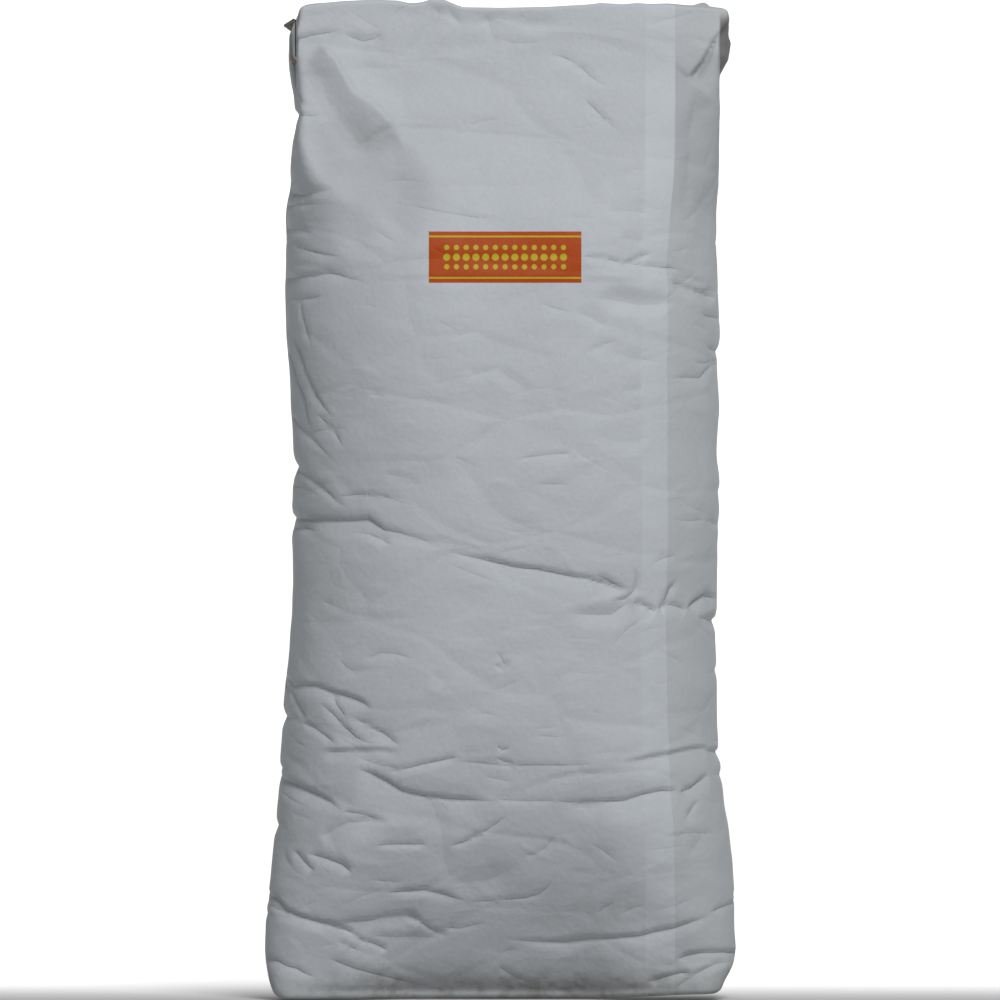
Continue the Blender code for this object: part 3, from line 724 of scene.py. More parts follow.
def mesh_of(name, grid, paper, flip=False):
    """A smooth mesh through a grid of points, with the paper's flat coordinates in metres as UV."""
    rows, columns = grid.shape[:2]
    index = np.arange(rows * columns).reshape(rows, columns)
    quads = np.stack([index[:-1, :-1], index[:-1, 1:], index[1:, 1:], index[1:, :-1]], -1)
    quads = quads.reshape(-1, 4)
    if flip:
        quads = quads[:, ::-1]
    mesh = bpy.data.meshes.new(name)
    mesh.from_pydata(grid.reshape(-1, 3).tolist(), [], quads.tolist())
    layer = mesh.uv_layers.new(name="paper")
    layer.uv.foreach_set("vector", paper.reshape(-1, 2)[quads.ravel()].astype(np.float32).ravel())
    mesh.shade_smooth()
    piece = bpy.data.objects.new(name, mesh)
    bpy.context.scene.collection.objects.link(piece)
    return piece


front_folds = laid_out([real_fold(*fold) for fold in FRONT_FOLDS] + faint_creases(1))
back_folds = laid_out(list(BACK_FOLDS) + faint_creases(2))
tube_front, front_grid = build_panel("tube_front", FRONT_COLUMNS, -1, front_folds, back_folds)
tube_back, back_grid = build_panel("tube_back", BACK_COLUMNS, 1, back_folds, front_folds)


class Shade:
    """A value, colour or vector on its way through the nodes of a material."""

    def __init__(self, tree, socket=None):
        self.tree = tree
        self.socket = socket

    def node(self, kind, settings, sockets, output=0):
        """Adds a node with its settings and the values or links of its sockets."""
        made = self.tree.nodes.new(kind)
        for key, value in settings.items():
            setattr(made, key, value)
        for key, value in sockets.items():
            if isinstance(value, Shade):
                self.tree.links.new(value.socket, made.inputs[key])
            else:
                made.inputs[key].default_value = value
        return Shade(self.tree, made.outputs[output])

    def maths(self, operation, *others):
        sockets = dict(enumerate((self, *others)))
        return self.node("ShaderNodeMath", {"operation": operation}, sockets)

    def __add__(self, other):
        return self.maths("ADD", other)

    __radd__ = __add__

    def __sub__(self, other):
        return self.maths("SUBTRACT", other)

    def __rsub__(self, other):
        return self * -1 + other

    def __mul__(self, other):
        return self.maths("MULTIPLY", other)

    __rmul__ = __mul__

    def __truediv__(self, other):
        return self.maths("DIVIDE", other)

    def size(self):
        return self.maths("ABSOLUTE")

    def ramp(self, low, high):
        """0 where this is at low and 1 at high, smoothly between."""
        sockets = {"Value": self, "From Min": low, "From Max": high}
        return self.node("ShaderNodeMapRange", {"interpolation_type": "SMOOTHSTEP"}, sockets)

    def within(self, low, high, edge):
        """1 between low and high, falling to 0 over the edge on both sides."""
        return self.ramp(low - edge, low) * self.ramp(high + edge, high)

    def tint(self, plain, tinted):
        """The plain colour where this is 0 and the tinted one where it is 1."""
        settings = {"data_type": "RGBA", "clamp_factor": True}
        return self.node("ShaderNodeMix", settings, {0: self, 6: plain, 7: tinted}, output=2)

    def part(self, axis):
        return self.node("ShaderNodeSeparateXYZ", {}, {0: self}, output=axis)

    def vector(self, operation, other):
        return self.node("ShaderNodeVectorMath", {"operation": operation}, {0: self, 1: other})

    def stretched(self, x, y, z):
        return self.vector("MULTIPLY", (x, y, z))

    def noise(self, scale, detail=2.0, roughness=0.5):
        sockets = {"Vector": self, "Scale": scale, "Detail": detail, "Roughness": roughness}
        return self.node("ShaderNodeTexNoise", {}, sockets)

    def wander(self, scale, detail, reach):
        """Noise about nothing, of up to half the reach to either side."""
        return (self.noise(scale, detail) - 0.5) * reach

    def warped(self, scale, reach):
        """This vector pushed about by noise, by up to about the reach."""
        sockets = {"Vector": self, "Scale": scale, "Detail": 1.0}
        push = self.node("ShaderNodeTexNoise", {}, sockets, output="Color")
        settings = {"operation": "MULTIPLY_ADD"}
        return self.node("ShaderNodeVectorMath", settings, {0: push, 1: (reach,) * 3, 2: self})

    def cells(self, scale, feature="F1", **sockets):
        sockets |= {"Vector": self, "Scale": scale}
        return self.node("ShaderNodeTexVoronoi", {"feature": feature}, sockets)

    def bump(self, distance=1.0):
        return self.node("ShaderNodeBump", {}, {"Distance": distance, "Height": self})


def new_material(name, **constants):
    """A material, its shader node and a first Shade to add nodes with."""
    material = bpy.data.materials.new(name)
    material.use_nodes = True
    shader = material.node_tree.nodes["Principled BSDF"]
    for key, value in constants.items():
        shader.inputs[key.replace("_", " ")].default_value = value
    start = Shade(material.node_tree)
    return material, shader, start, start.node("ShaderNodeTexCoord", {}, {}, output="Object")


def feed(start, shader, **links):
    """Links what varies over the surface to the shader's sockets."""
    for key, shade in links.items():
        start.tree.links.new(shade.socket, shader.inputs[key.replace("_", " ")])


# The plain paper: its colours, and its clouds as scale, detail and roughness
WHITE_PAPER = (0.408, 0.430, 0.455, 1)
DULL_PAPER = (0.377, 0.397, 0.416, 1)
BROAD_CLOUD, FINE_CLOUD = (8, 3), (330, 4, 0.65)
BROAD_SHARE, FINE_SHARE = 0.55, 0.45
CLOUD_RANGE = 0.35, 0.70

# Its unevenness, from broad crumples down to the fibre: how each kind is stretched, its scale
# with its detail, the scale and reach of its warp, and its height
CRUMPLE_STRETCH, FACET_STRETCH, FIBRE_STRETCH = (0.7, 0.7, 1.2), (0.65, 0.65, 1.25), (1, 1, 0.5)
CRUMPLE, FACET, SMALL_FACET, GRAIN, FIBRE = (12, 2, 0.45), 14, 40, 210, (1400, 2)
FACET_WARP, SMALL_FACET_WARP = (9, 0.055), (40, 0.012)
PATCH, PATCH_RANGE, PATCH_LEAST = (11, 2), (0.42, 0.62), 0.3
CRUMPLE_HEIGHT = 0.0016
FACET_RIDGE, FACET_HEIGHT, SMALL_FACET_HEIGHT = 0.00030, 0.0022, 0.0007
RIDGE_RANGE = 0.0, 0.11
GRAIN_SOFT = 0.8
GRAIN_HEIGHT, FIBRE_HEIGHT = 0.00026, 0.00009

# Its roughness, least and change, and the cloud that it follows
SATIN, SATIN_CHANGE, SATIN_CLOUD = 0.56, 0.16, (60, 3)


def plain_face(place):
    """Colour and height of the bare paper: cloudy, crumpled, with the granules pressing through."""
    cloud = place.noise(*BROAD_CLOUD) * BROAD_SHARE + place.noise(*FINE_CLOUD) * FINE_SHARE
    colour = cloud.ramp(*CLOUD_RANGE).tint(WHITE_PAPER, DULL_PAPER)
    crumple = place.stretched(*CRUMPLE_STRETCH).noise(*CRUMPLE)
    bent = place.stretched(*FACET_STRETCH).warped(*FACET_WARP)
    facets = bent.cells(FACET, "DISTANCE_TO_EDGE")
    small = bent.warped(*SMALL_FACET_WARP).cells(SMALL_FACET, "DISTANCE_TO_EDGE")
    patches = place.noise(*PATCH).ramp(*PATCH_RANGE)
    grains = place.cells(GRAIN, "SMOOTH_F1", Smoothness=GRAIN_SOFT)
    fibre = place.stretched(*FIBRE_STRETCH).noise(*FIBRE)
    height = (crumple * CRUMPLE_HEIGHT + facets.ramp(*RIDGE_RANGE) * FACET_RIDGE
              + facets * FACET_HEIGHT + small * (PATCH_LEAST + patches) * SMALL_FACET_HEIGHT
              + grains * GRAIN_HEIGHT + fibre * FIBRE_HEIGHT)
    return colour, height


# The pasted overlap of the tube: from and to, measured round the paper from the front's middle,
# how soft its edges are, and how far the outer ply's duller strip runs on round the side
SEAM_PAPER = (0.413, 0.436, 0.461, 1)
OVERLAP_PAPER = (0.372, 0.390, 0.403, 1)
SEAM_FROM, SEAM_TO = 0.1225, 0.1480
SEAM_EDGE, SEAM_BLUR = 0.0004, 0.0012
SEAM_STEP = 0.00012
OVERLAP_END = 0.24, 0.20

# Painted shade on that strip near the top: where it comes and goes, by height
OVERLAP_TOP_SHADE = (0.322, 0.338, 0.349, 1)
TOP_SHADE_FROM, TOP_SHADE_TO = (0.640, 0.705), (0.812, 0.790)
TOP_SHADE_WANDER = 20, 2, 0.06


def pasted_seam(colour, height, place, flat):
    """The strip where the tube's long edges are pasted, a ply higher, and the paper beyond it."""
    along, up = flat.part(0), flat.part(1)
    overlap = along.ramp(SEAM_TO - SEAM_EDGE, SEAM_TO + SEAM_EDGE) * along.ramp(*OVERLAP_END)
    seam = (along.ramp(SEAM_FROM - SEAM_BLUR, SEAM_FROM + SEAM_BLUR)
            * along.ramp(SEAM_TO + SEAM_EDGE, SEAM_TO - SEAM_EDGE))
    # painted shade on the outer strip near the top
    top_shade = (up + place.wander(*TOP_SHADE_WANDER)).ramp(*TOP_SHADE_FROM) * up.ramp(*TOP_SHADE_TO)
    colour = overlap.tint(colour, top_shade.tint(OVERLAP_PAPER, OVERLAP_TOP_SHADE))
    return seam.tint(colour, SEAM_PAPER), height + seam * SEAM_STEP


# A patch of painted shade high on the left: its slanting right edge, its left edge, its heights
PAINTED_SHADE_PATCH = (0.30, 0.312, 0.325, 1)
SHADE_PATCH_SLANT = 0.48
SHADE_PATCH_WANDER = 18, 3, 0.07
SHADE_PATCH_RIGHT, SHADE_PATCH_LEFT = (0.284, 0.238), (-0.162, -0.142)
SHADE_PATCH_HEIGHTS = 0.672, 0.728, 0.035
SHADE_PATCH_LEAST, SHADE_PATCH_CHANGE, SHADE_PATCH_CLOUD = 0.25, 0.4, (25, 3)


def painted_shade_patch(colour, place):
    """Painted shade on the paper, patchy in clouds."""
    x, z = place.part(0), place.part(2)
    slant = x + z * SHADE_PATCH_SLANT + place.wander(*SHADE_PATCH_WANDER)
    patch = slant.ramp(*SHADE_PATCH_RIGHT) * x.ramp(*SHADE_PATCH_LEFT) * z.within(*SHADE_PATCH_HEIGHTS)
    painted_share = patch * (SHADE_PATCH_LEAST + place.noise(*SHADE_PATCH_CLOUD) * SHADE_PATCH_CHANGE)
    return painted_share.tint(colour, PAINTED_SHADE_PATCH)


# The printed block, its rules and its rows of dots: place on the paper and sizes, how sharp and
# unsteady its edges are, where the ink is worn and how much smoother it is than paper
PRINT_ORANGE = (0.320, 0.048, 0.004, 1)
PRINT_YELLOW = (0.370, 0.315, 0.015, 1)
PRINT_MIDDLE = (0.0043, 0.6283)
PRINT_HALF = (0.0643, 0.0217)
RULE_FROM, RULE_TO = 0.0168, 0.0182
DOT_PITCH = 0.0082
DOT_ROWS_HALF = 0.0123
DOT_ROW_LENGTH = 0.0533
DOT_RADIUS = 0.0030
DOT_GRADE = 0.0008
INK_EDGE = 0.0001
INK_WANDER = 900, 1, 0.0003
WORN_SPOTS = 700, 3, 0.7
WORN_RANGE, WORN_SHARE = (0.70, 0.76), 0.5
INK_GLOSS = 0.12


def printed_block(colour, rough, place, flat):
    """Orange ink with yellow rules and graded dots over it, glossier than paper, worn in specks."""
    across, rise = flat.part(0) - PRINT_MIDDLE[0], flat.part(1) - PRINT_MIDDLE[1]
    wobble = flat.wander(*INK_WANDER)
    block = ((across.size() + wobble).ramp(PRINT_HALF[0] + INK_EDGE, PRINT_HALF[0] - INK_EDGE)
             * (rise.size() + wobble).ramp(PRINT_HALF[1] + INK_EDGE, PRINT_HALF[1] - INK_EDGE))
    rules = (rise.size() + wobble).within(RULE_FROM, RULE_TO, INK_EDGE)
    column, row = ((way / DOT_PITCH + 0.5).maths("FLOOR") for way in (across, rise))
    off_x, off_z = across - column * DOT_PITCH, rise - row * DOT_PITCH
    off = (off_x * off_x + off_z * off_z).maths("SQRT")
    grade = DOT_RADIUS - row.size() * DOT_GRADE
    dots = ((off - grade + wobble).ramp(INK_EDGE, -INK_EDGE)
            * across.size().ramp(DOT_ROW_LENGTH + INK_EDGE, DOT_ROW_LENGTH)
            * rise.size().ramp(DOT_ROWS_HALF + INK_EDGE, DOT_ROWS_HALF))
    ink = rules.maths("MAXIMUM", dots).tint(PRINT_ORANGE, PRINT_YELLOW)
    worn = place.noise(*WORN_SPOTS).ramp(*WORN_RANGE)
    return (block * (1 - worn * WORN_SHARE)).tint(colour, ink), rough - block * INK_GLOSS


# The painted shade on the block's two ends where they are folded in, and the painted shadow in
# the slit beside the valve: where each begins and ends along x, y and in height
EAR_PAINTED_SHADE = (0.150, 0.154, 0.150, 1)
RIGHT_END_SHADE_X = 0.1850, 0.1870
RIGHT_END_SHADE_FOOT, RIGHT_END_SHADE_TOP = (0.783, 0.790), (0.838, 0.826)
LEFT_END_SHADE_X = -0.1734, -0.1744
LEFT_END_SHADE_STRIP, LEFT_END_SHADE_STEP = (0.797, 0.803), 0.0025
LEFT_END_SHADE_Y = -0.006, 0.030, 0.008
LEFT_END_SHADE_HEIGHTS = 0.757, 0.822, 0.004
LEFT_END_SHADE_SHARE = 0.8
SLOT_SHADE = (0.03, 0.03, 0.028, 1)
SLOT_X = -0.1734, -0.1727, 0.0002
SLOT_Y = -0.030, -0.034
SLOT_HEIGHTS = 0.800, 0.830, 0.002


def block_end_painted_shade(colour, place):
    """Painted shade where the ends of the top block are folded in, and painted shadow in the slit."""
    x, y, z = (place.part(axis) for axis in range(3))
    right = x.ramp(*RIGHT_END_SHADE_X) * z.ramp(*RIGHT_END_SHADE_FOOT) * z.ramp(*RIGHT_END_SHADE_TOP)
    colour = right.tint(colour, EAR_PAINTED_SHADE)
    left = (x + z.ramp(*LEFT_END_SHADE_STRIP) * LEFT_END_SHADE_STEP).ramp(*LEFT_END_SHADE_X)
    left = left * y.within(*LEFT_END_SHADE_Y) * LEFT_END_SHADE_SHARE * z.within(*LEFT_END_SHADE_HEIGHTS)
    colour = left.tint(colour, EAR_PAINTED_SHADE)
    slot = x.within(*SLOT_X) * y.ramp(*SLOT_Y) * z.within(*SLOT_HEIGHTS)
    return slot.tint(colour, SLOT_SHADE)


# The torn spot beside the valve: its colour, its middle, its stretch and its ragged edge
TORN_KRAFT = (0.17, 0.135, 0.105, 1)
TORN_PLACE = (-0.1760, 0.0250, 0.7980)
TORN_STRETCH = 1.6, 0.5, 1
TORN_WANDER = 300, 3, 0.008
TORN_EDGE = 0.0055, 0.0045


def torn_spot(colour, place):
    """Brown inner kraft where a scrap of the white ply has come off."""
    away = place.vector("SUBTRACT", TORN_PLACE).stretched(*TORN_STRETCH)
    away = away.node("ShaderNodeVectorMath", {"operation": "LENGTH"}, {0: away}, output="Value")
    return (away + place.wander(*TORN_WANDER)).ramp(*TORN_EDGE).tint(colour, TORN_KRAFT)


# Grime and painted shade along the foot, darkest in its middle where it rolls under: from nothing
# to full by height, its least in a cloud, its share at the sides and what it gains in the middle. Then the
# scuffs all over
GRIME_AND_SHADE = (0.17, 0.166, 0.155, 1)
GRIME_AND_SHADE_HEIGHTS = 0.042, 0.004
GRIME_AND_SHADE_CLOUD, GRIME_AND_SHADE_RANGE = (45, 4, 0.65), (0.42, 0.72)
GRIME_AND_SHADE_LEAST = 0.4
FOOT_SHADE_MIDDLE = 0.165, 0.115
GRIME_AND_SHADE_SIDES, FOOT_SHADE_GAIN = 0.5, 0.42
SCUFF_STRETCH = 1, 1, 6
SCUFF_CLOUD, SCUFF_RANGE = (70, 3, 0.6), (0.66, 0.78)
SCUFF_SHARE = 0.10


def grime_and_foot_shade(colour, place):
    """Dirt and painted shade along the foot, most in its middle, and faint level scuffs higher up."""
    x, z = place.part(0), place.part(2)
    cloud = place.noise(*GRIME_AND_SHADE_CLOUD).ramp(*GRIME_AND_SHADE_RANGE)
    low = z.ramp(*GRIME_AND_SHADE_HEIGHTS) * (GRIME_AND_SHADE_LEAST + cloud * (1 - GRIME_AND_SHADE_LEAST))
    middle = x.size().ramp(*FOOT_SHADE_MIDDLE)
    colour = (low * (GRIME_AND_SHADE_SIDES + middle * FOOT_SHADE_GAIN)).tint(colour, GRIME_AND_SHADE)
    scuffs = place.stretched(*SCUFF_STRETCH).noise(*SCUFF_CLOUD).ramp(*SCUFF_RANGE)
    return (scuffs * SCUFF_SHARE).tint(colour, GRIME_AND_SHADE)


# The sharp crease along a fold, in millimetres: how wide its dark upper and lit lower side are,
# how far the line wanders, and the cloud and least share of its depth
CREASE_ABOVE = 1.9
CREASE_BELOW = 4.5
CREASE_WANDER = 150, 2, 1.0
CREASE_CLOUD, CREASE_LEAST = (70, 2), 0.5


def sharp_creases(start, place):
    """How far the creases along the folds cut into the paper."""
    line = start.node("ShaderNodeAttribute", {"attribute_name": "crease"}, {}, output="Vector")
    gap = line.part(0) + place.wander(*CREASE_WANDER)
    fold = (1 - gap / CREASE_ABOVE).maths("MINIMUM", 1 + gap / CREASE_BELOW).maths("MAXIMUM", 0.0)
    share = CREASE_LEAST + place.noise(*CREASE_CLOUD)
    return fold * fold * share * line.part(1) * 0.001


def sack_paper(name, printed):
    """Bleached kraft paper, satin. The front's also has the seam, the print and a patch of painted shade.
    """
    material, shader, start, place = new_material(name, Specular_IOR_Level=0.12)
    colour, height = plain_face(place)
    rough = SATIN + place.noise(*SATIN_CLOUD) * SATIN_CHANGE
    if printed:
        flat = start.node("ShaderNodeUVMap", {"uv_map": "paper"}, {})
        colour, height = pasted_seam(colour, height, place, flat)
        colour = painted_shade_patch(colour, place)
        colour, rough = printed_block(colour, rough, place, flat)
    # painted shade on the block's folded ends, the torn spot, then grime and painted shade at the foot
    for layer in (block_end_painted_shade, torn_spot, grime_and_foot_shade):
        colour = layer(colour, place)
    height = height - sharp_creases(start, place)
    feed(start, shader, Base_Color=colour, Roughness=rough, Normal=height.bump())
    return material


plain_paper = sack_paper("white_paper", printed=False)
for panel, paper in ((tube_front, sack_paper("white_paper_printed", True)), (tube_back, plain_paper)):
    panel.data.materials.append(paper)
    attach(panel, "root")
    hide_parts("sack")


# THE BLOCK ENDS
# The tube's end is squared off into a block: its ends are tucked in as triangles, its front and
# back flaps are pasted over them, and a cover sheet is pasted on top.

BLOCK_ROWS = 56
BLOCK_COLUMNS = 150
BLOCK_SAG = 0.0035
FLAP_STEP = 0.0006
FLAP_OVERLAP = 0.010
COVER_MARGIN = 0.012
COVER_RISE = 0.0006
FOOT_COVER_RISE = 0.0004
DIP_AT_EDGE = 0.0012

# A rim runs from corner to corner where it is nearly as far out as it gets. Then how soft the
# steps of the flaps and the edge of a cover are, and how near a rim the face goes level
RIM_SHARE = 0.8
FLAP_SOFT, COVER_SOFT, RIM_CALM = 0.002, 0.0015, 0.006

# The unevenness of the block's faces, and the share of it that the foot keeps under the load
BLOCK_SWELLS = ((0.060, 0.0016), (0.025, 0.0007), (0.011, 0.0003))
BLOCK_SEED = 20
PRESSED = 0.2


def block_face(name, front_rim, back_rim, facing, margin, rise, sag):
    """A level sheet between the rims of the front and back panels. Facing is 1 for the top and
    -1 for the foot. A margin sets its edges back, and rise lifts it off the sheet below."""
    def corner_to_corner(rim):
        flat = np.flatnonzero(np.abs(rim[:, 1]) > RIM_SHARE * np.abs(rim[:, 1]).max())
        way = np.linspace(flat[0], flat[-1], BLOCK_COLUMNS + 1)
        return np.stack([np.interp(way, range(len(rim)), rim[:, k]) for k in range(3)], -1)

    front, back = corner_to_corner(front_rim), corner_to_corner(back_rim)
    length, depth = np.ptp(front[:, 0]), np.ptp([front[:, 1].min(), back[:, 1].max()])
    u = np.linspace(margin / length, 1 - margin / length, BLOCK_COLUMNS + 1)[None, :]
    v = np.linspace(margin / depth, 1 - margin / depth, BLOCK_ROWS + 1)[:, None]
    places = u[0] * BLOCK_COLUMNS
    front, back = (np.stack([np.interp(places, range(BLOCK_COLUMNS + 1), rim[:, k])
                             for k in range(3)], -1) for rim in (front, back))
    grid = front[None] * (1 - v[..., None]) + back[None] * v[..., None]
    x, y = (u - 0.5) * length, (v - 0.5) * depth
    middle = 16 * u * (1 - u) * v * (1 - v)
    tucked = smooth((np.abs(x) - (length / 2 - depth / 2 + np.abs(y))) / FLAP_SOFT + 0.5)
    overlap = smooth((y - FLAP_OVERLAP) / FLAP_SOFT + 0.5)
    height = FLAP_STEP * (1 - tucked) * (1 + overlap)
    height = height - sag * middle
    for seed, (extent, size) in enumerate(BLOCK_SWELLS, BLOCK_SEED):
        height = height + size * swell(grid, extent, seed) * np.minimum(1, 4 * middle)
    inside = np.minimum(np.minimum(u, 1 - u) * length, np.minimum(v, 1 - v) * depth)
    window = smooth(inside / RIM_CALM)
    from_edge = np.minimum(np.minimum(u - u.min(), u.max() - u) * length,
                           np.minimum(v - v.min(), v.max() - v) * depth)
    edge = smooth(from_edge / COVER_SOFT)
    dip = (1 - edge) * DIP_AT_EDGE if margin else 0
    grid[..., 2] += facing * (height * window * (1 if facing > 0 else PRESSED) + rise - dip)
    flat = np.stack(np.broadcast_arrays(x, y), -1)
    return mesh_of(name, grid, flat, flip=facing < 0)


faces = (
    ("top_block", front_grid[-1], back_grid[-1], 1, 0, 0, BLOCK_SAG, "sack"),
    ("top_cover", front_grid[-1], back_grid[-1], 1, COVER_MARGIN, COVER_RISE, BLOCK_SAG,
     "top_cover_sheet"),
    ("foot_block", front_grid[0], back_grid[0], -1, 0, 0, 0, "sack"),
    ("foot_cover", front_grid[0], back_grid[0], -1, COVER_MARGIN, FOOT_COVER_RISE, 0,
     "bottom_cover_sheet"),
)
for name, front_rim, back_rim, facing, margin, rise, sag, node in faces:
    face = block_face(name, front_rim, back_rim, facing, margin, rise, sag)
    face.data.materials.append(plain_paper)
    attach(face, "root")
    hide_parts(node)


# THE VALVE
# The filling valve is a flattened sleeve of brown paper in the left end of the top block. Its
# outer end is pinched, and its front corner droops to a point.

# The valve's browns are darkened with painted shade
KRAFT_SHADED_DARK = (0.060, 0.058, 0.045, 1)
KRAFT_SHADED_LIGHT = (0.115, 0.105, 0.080, 1)
KRAFT_CLOUD, KRAFT_RANGE = (90, 3), (0.3, 0.75)
KRAFT_CRUMPLE, KRAFT_CRUMPLE_HEIGHT = (160, 4), 0.0008
KRAFT_FIBRE, KRAFT_FIBRE_STRETCH, KRAFT_FIBRE_HEIGHT = (1300, 2), (1, 1, 0.3), 0.00006
SLEEVE_HEIGHT = 0.8265
SLEEVE_HALF_WIDTH = 0.047
SLEEVE_THICK = 0.0016
SLEEVE_INNER, SLEEVE_OUTER = -0.080, -0.1834
SLEEVE_WALL = -0.1755
DROOP = 0.0055
DROOP_Y = -0.020

# Where the sleeve starts to gape, its width where it is pinched, what is left of the rest of the
# width at the wall, how flat its lips are, and the steps along and round it
GAPE_FROM = -0.150
PINCH_WIDTH = 0.35
WALL_WIDTH = 0.5
LIP_FLAT = 0.3
SLEEVE_STEPS, MOUTH_STEPS, AROUND_STEPS = 19, 11, 72

sleeve_x = np.concatenate([np.linspace(SLEEVE_INNER, SLEEVE_WALL, SLEEVE_STEPS + 1)[:-1],
                           np.linspace(SLEEVE_WALL, SLEEVE_OUTER, MOUTH_STEPS + 1)])
turn = np.linspace(0, 2 * math.pi, AROUND_STEPS + 1)
around_y = SLEEVE_HALF_WIDTH * np.cos(turn)
gape = np.clip((sleeve_x - GAPE_FROM) / (SLEEVE_WALL - GAPE_FROM), 0, 1) ** 3
taper = np.clip((sleeve_x - SLEEVE_OUTER) / (SLEEVE_WALL - SLEEVE_OUTER), 0, 1)
thick = (SLEEVE_THICK / 2 + DROOP * np.where(sleeve_x > SLEEVE_WALL, gape, taper))[:, None]
inner, outer = 1 - (1 - WALL_WIDTH) * gape, WALL_WIDTH * taper
narrow = PINCH_WIDTH + (1 - PINCH_WIDTH) * np.where(sleeve_x > SLEEVE_WALL, inner, outer)[:, None]
grid = np.empty((len(sleeve_x), len(turn), 3))
grid[..., 0] = sleeve_x[:, None]
grid[..., 1] = around_y * narrow + DROOP_Y * (1 - narrow)
grid[..., 2] = SLEEVE_HEIGHT + thick * np.sin(turn) * (LIP_FLAT + (1 - LIP_FLAT) * np.abs(np.sin(turn)))
valve = mesh_of("valve_mouth", grid, grid[..., :2])
material, shader, start, place = new_material("kraft_paper_valve", Roughness=0.8)
cloud = place.noise(*KRAFT_CLOUD).ramp(*KRAFT_RANGE)
fibre = place.stretched(*KRAFT_FIBRE_STRETCH).noise(*KRAFT_FIBRE)
height = place.noise(*KRAFT_CRUMPLE) * KRAFT_CRUMPLE_HEIGHT + fibre * KRAFT_FIBRE_HEIGHT
feed(start, shader, Base_Color=cloud.tint(KRAFT_SHADED_DARK, KRAFT_SHADED_LIGHT), Normal=height.bump())
valve.data.materials.append(material)
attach(valve, "root")
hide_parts("valve_sleeve")


# THE GRANULES
# Loose expanded glass, cream-grey grains of 1 to 4 mm, filling the sack to just under its block.
# Only the paper holds them, and they settle into a low heap.

GRAIN_COLOURS = (0.56, 0.53, 0.47, 1), (0.72, 0.70, 0.65, 1)
GRAIN_GAP_SHADE = (0.30, 0.28, 0.24, 1)
FILL_INSET = 0.026
FILL_FOOT, FILL_TOP = 0.016, 0.790
HEAP = 0.010

# Rows and columns of the fill's sides and rows of its heap, the rings of its level underside, how
# far below the fill's top the heap starts and how round it is, and the most that the rolled foot
# may take of the fill's half depth
FILL_ROWS, FILL_COLUMNS, HEAP_ROWS = 130, 90, 14
UNDERSIDE_RINGS = 0.02, 0.5
HEAP_BELOW, HEAP_ROUND, HEAP_TIP = 0.02, 0.6, 0.002
MOST_ROLLED = 0.8

# The grains: their scale, where the painted shade in the gaps between them begins, their height
# and their pitted skin. Then the unevenness of the whole fill
GRAIN_SCALE = 330
GRAIN_SHADE_RANGE, GRAIN_ROUND = (0.35, 0.75), (0.8, 0.0)
GRAIN_BUMP, PIT_CLOUD, PIT_BUMP = 0.0012, (1500, 3), 0.00012
GRAIN_SWELL, GRAIN_SWELL_HEIGHT, GRAIN_SEEDS = 0.006, 0.0015, (31, 32, 33)

fill_z = np.linspace(FILL_FOOT, FILL_TOP - HEAP_BELOW, FILL_ROWS)
outline_x, outline_y, _, _, way = half_outlines(fill_z)
spread = np.linspace(0, 1, FILL_COLUMNS)[None, :] * way[:, -1:]
half_x, half_y = (np.array([np.interp(s, w, row) for s, w, row in zip(spread, way, part)])
                  for part in (outline_x, outline_y))
half_x *= 1 - FILL_INSET / np.abs(half_x).max(1)[:, None]
half_y *= 1 - FILL_INSET / np.abs(half_y).max(1)[:, None]
half_y += np.minimum(rolled_under(half_x, fill_z[:, None]), MOST_ROLLED * np.abs(half_y))
ring_x = np.concatenate([half_x, half_x[:, ::-1]], 1)
ring_y = np.concatenate([half_y, -half_y[:, ::-1]], 1)
rings = [np.stack([ring_x[0] * s, ring_y[0] * s, np.full(ring_x.shape[1], FILL_FOOT)], -1)
         for s in UNDERSIDE_RINGS]
rings += [np.stack([x, y, np.full(len(x), z)], -1) for x, y, z in zip(ring_x, ring_y, fill_z)]
for share in np.linspace(0.1, 1, HEAP_ROWS):
    shrink = math.cos(share * math.pi / 2) ** HEAP_ROUND + HEAP_TIP
    height = fill_z[-1] + (FILL_TOP + HEAP - fill_z[-1]) * math.sin(share * math.pi / 2)
    rings.append(np.stack([ring_x[-1] * shrink, ring_y[-1] * shrink,
                           np.full(ring_x.shape[1], height)], -1))
grid = np.array(rings)
grid += GRAIN_SWELL_HEIGHT * np.stack([swell(grid, GRAIN_SWELL, seed) for seed in GRAIN_SEEDS], -1)
granules = mesh_of("granules", grid, grid[..., :2])
material, shader, start, place = new_material("glass_granules_loose", Roughness=0.85)
grain = place.cells(GRAIN_SCALE)
shade = place.node("ShaderNodeTexVoronoi", {}, {"Vector": place, "Scale": GRAIN_SCALE}, output=1)
tone = shade.part(0).ramp(0.0, 1.0).tint(*GRAIN_COLOURS)
# painted shade in the gaps between the grains
colour = grain.ramp(*GRAIN_SHADE_RANGE).tint(tone, GRAIN_GAP_SHADE)
height = grain.ramp(*GRAIN_ROUND) * GRAIN_BUMP + place.noise(*PIT_CLOUD) * PIT_BUMP
feed(start, shader, Base_Color=colour, Normal=height.bump())
granules.data.materials.append(material)
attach(granules, "root")
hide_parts("granule_fill")


# THE FLOOR, THE LIGHT AND THE CAMERA
# A plain pale floor that sweeps up into a backdrop, one round soft light high on the right and an
# even sky. The camera looks level at the middle of the front.

STAGE_HALF_WIDTH = 14.0
STAGE_NEAR, STAGE_FAR = -14.0, 16.0
SWEEP_RADIUS = 0.9
STAGE_HEIGHT = 3.0
STAGE_WHITE = (0.50, 0.50, 0.50, 1)
GLOW_NONE, GLOW_WHITE = (0.0, 0.0, 0.0, 1), (0.85, 0.85, 0.85, 1)
GLOW_FROM, GLOW_FULL = -0.12, 0.55
SWEEP_STEPS = 24

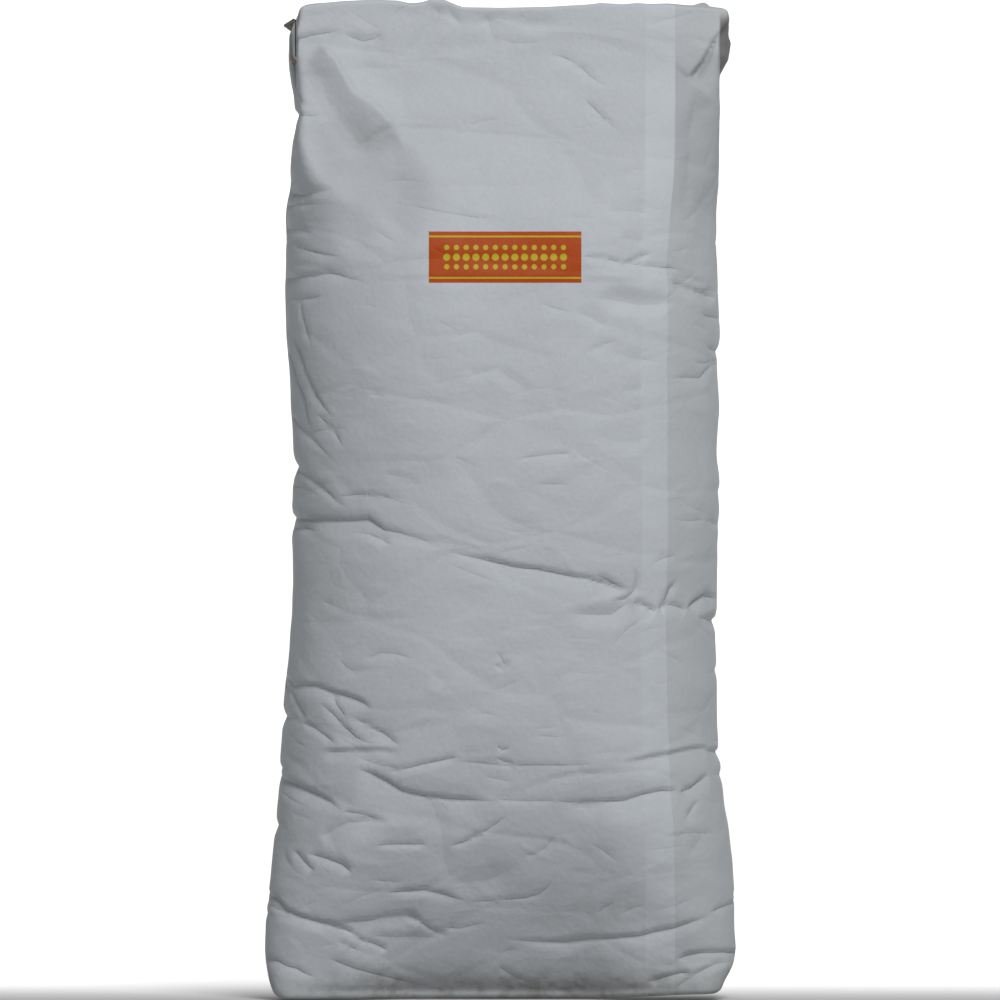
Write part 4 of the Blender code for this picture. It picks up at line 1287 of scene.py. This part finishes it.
turn = np.linspace(0, math.pi / 2, SWEEP_STEPS)
sweep_y = np.concatenate([[STAGE_NEAR], STAGE_FAR + SWEEP_RADIUS * (np.sin(turn) - 1), [STAGE_FAR]])
sweep_z = np.concatenate([[0], SWEEP_RADIUS * (1 - np.cos(turn)), [STAGE_HEIGHT]])
grid = np.array([[(-STAGE_HALF_WIDTH, y, z), (STAGE_HALF_WIDTH, y, z)]
                 for y, z in zip(sweep_y, sweep_z)])
floor = mesh_of("pale_floor", grid, grid[..., :2])
material, shader, start, place = new_material("pale_floor", Roughness=0.9, Emission_Strength=1.0)
shader.inputs["Base Color"].default_value = STAGE_WHITE
glow = place.part(1).ramp(GLOW_FROM, GLOW_FULL).tint(GLOW_NONE, GLOW_WHITE)
feed(start, shader, Emission_Color=glow)
floor.data.materials.append(material)

KEY_PLACE = (1.35, -4.60, 4.28)
KEY_AIM = (0, 0, 0.45)
KEY_SIZE = 2.4
KEY_POWER = 315
SKY_STRENGTH = 0.275

key_data = bpy.data.lights.new("key_light", "AREA")
key_data.shape = "DISK"
key_data.size = KEY_SIZE
key_data.energy = KEY_POWER
key = bpy.data.objects.new("key_light", key_data)
key.location = KEY_PLACE
key.rotation_euler = (Vector(KEY_AIM) - Vector(KEY_PLACE)).to_track_quat("-Z", "Y").to_euler()
bpy.context.scene.collection.objects.link(key)

world = bpy.data.worlds.new("studio")
world.use_nodes = True
world.node_tree.nodes["Background"].inputs["Color"].default_value = (1, 1, 1, 1)
world.node_tree.nodes["Background"].inputs["Strength"].default_value = SKY_STRENGTH
bpy.context.scene.world = world
bpy.context.scene.view_settings.view_transform = "Standard"

CAMERA_DISTANCE = 12.0
CAMERA_HEIGHT = 0.4237
VIEW_WIDTH = 0.850
SENSOR_WIDTH = 36

camera_data = bpy.data.cameras.new("camera")
camera_data.sensor_width = SENSOR_WIDTH
camera_data.lens = SENSOR_WIDTH * CAMERA_DISTANCE / VIEW_WIDTH
camera = bpy.data.objects.new("camera", camera_data)
camera.location = (0, -CAMERA_DISTANCE, CAMERA_HEIGHT)
camera.rotation_euler = (math.pi / 2, 0, 0)
bpy.context.scene.collection.objects.link(camera)
bpy.context.scene.camera = camera
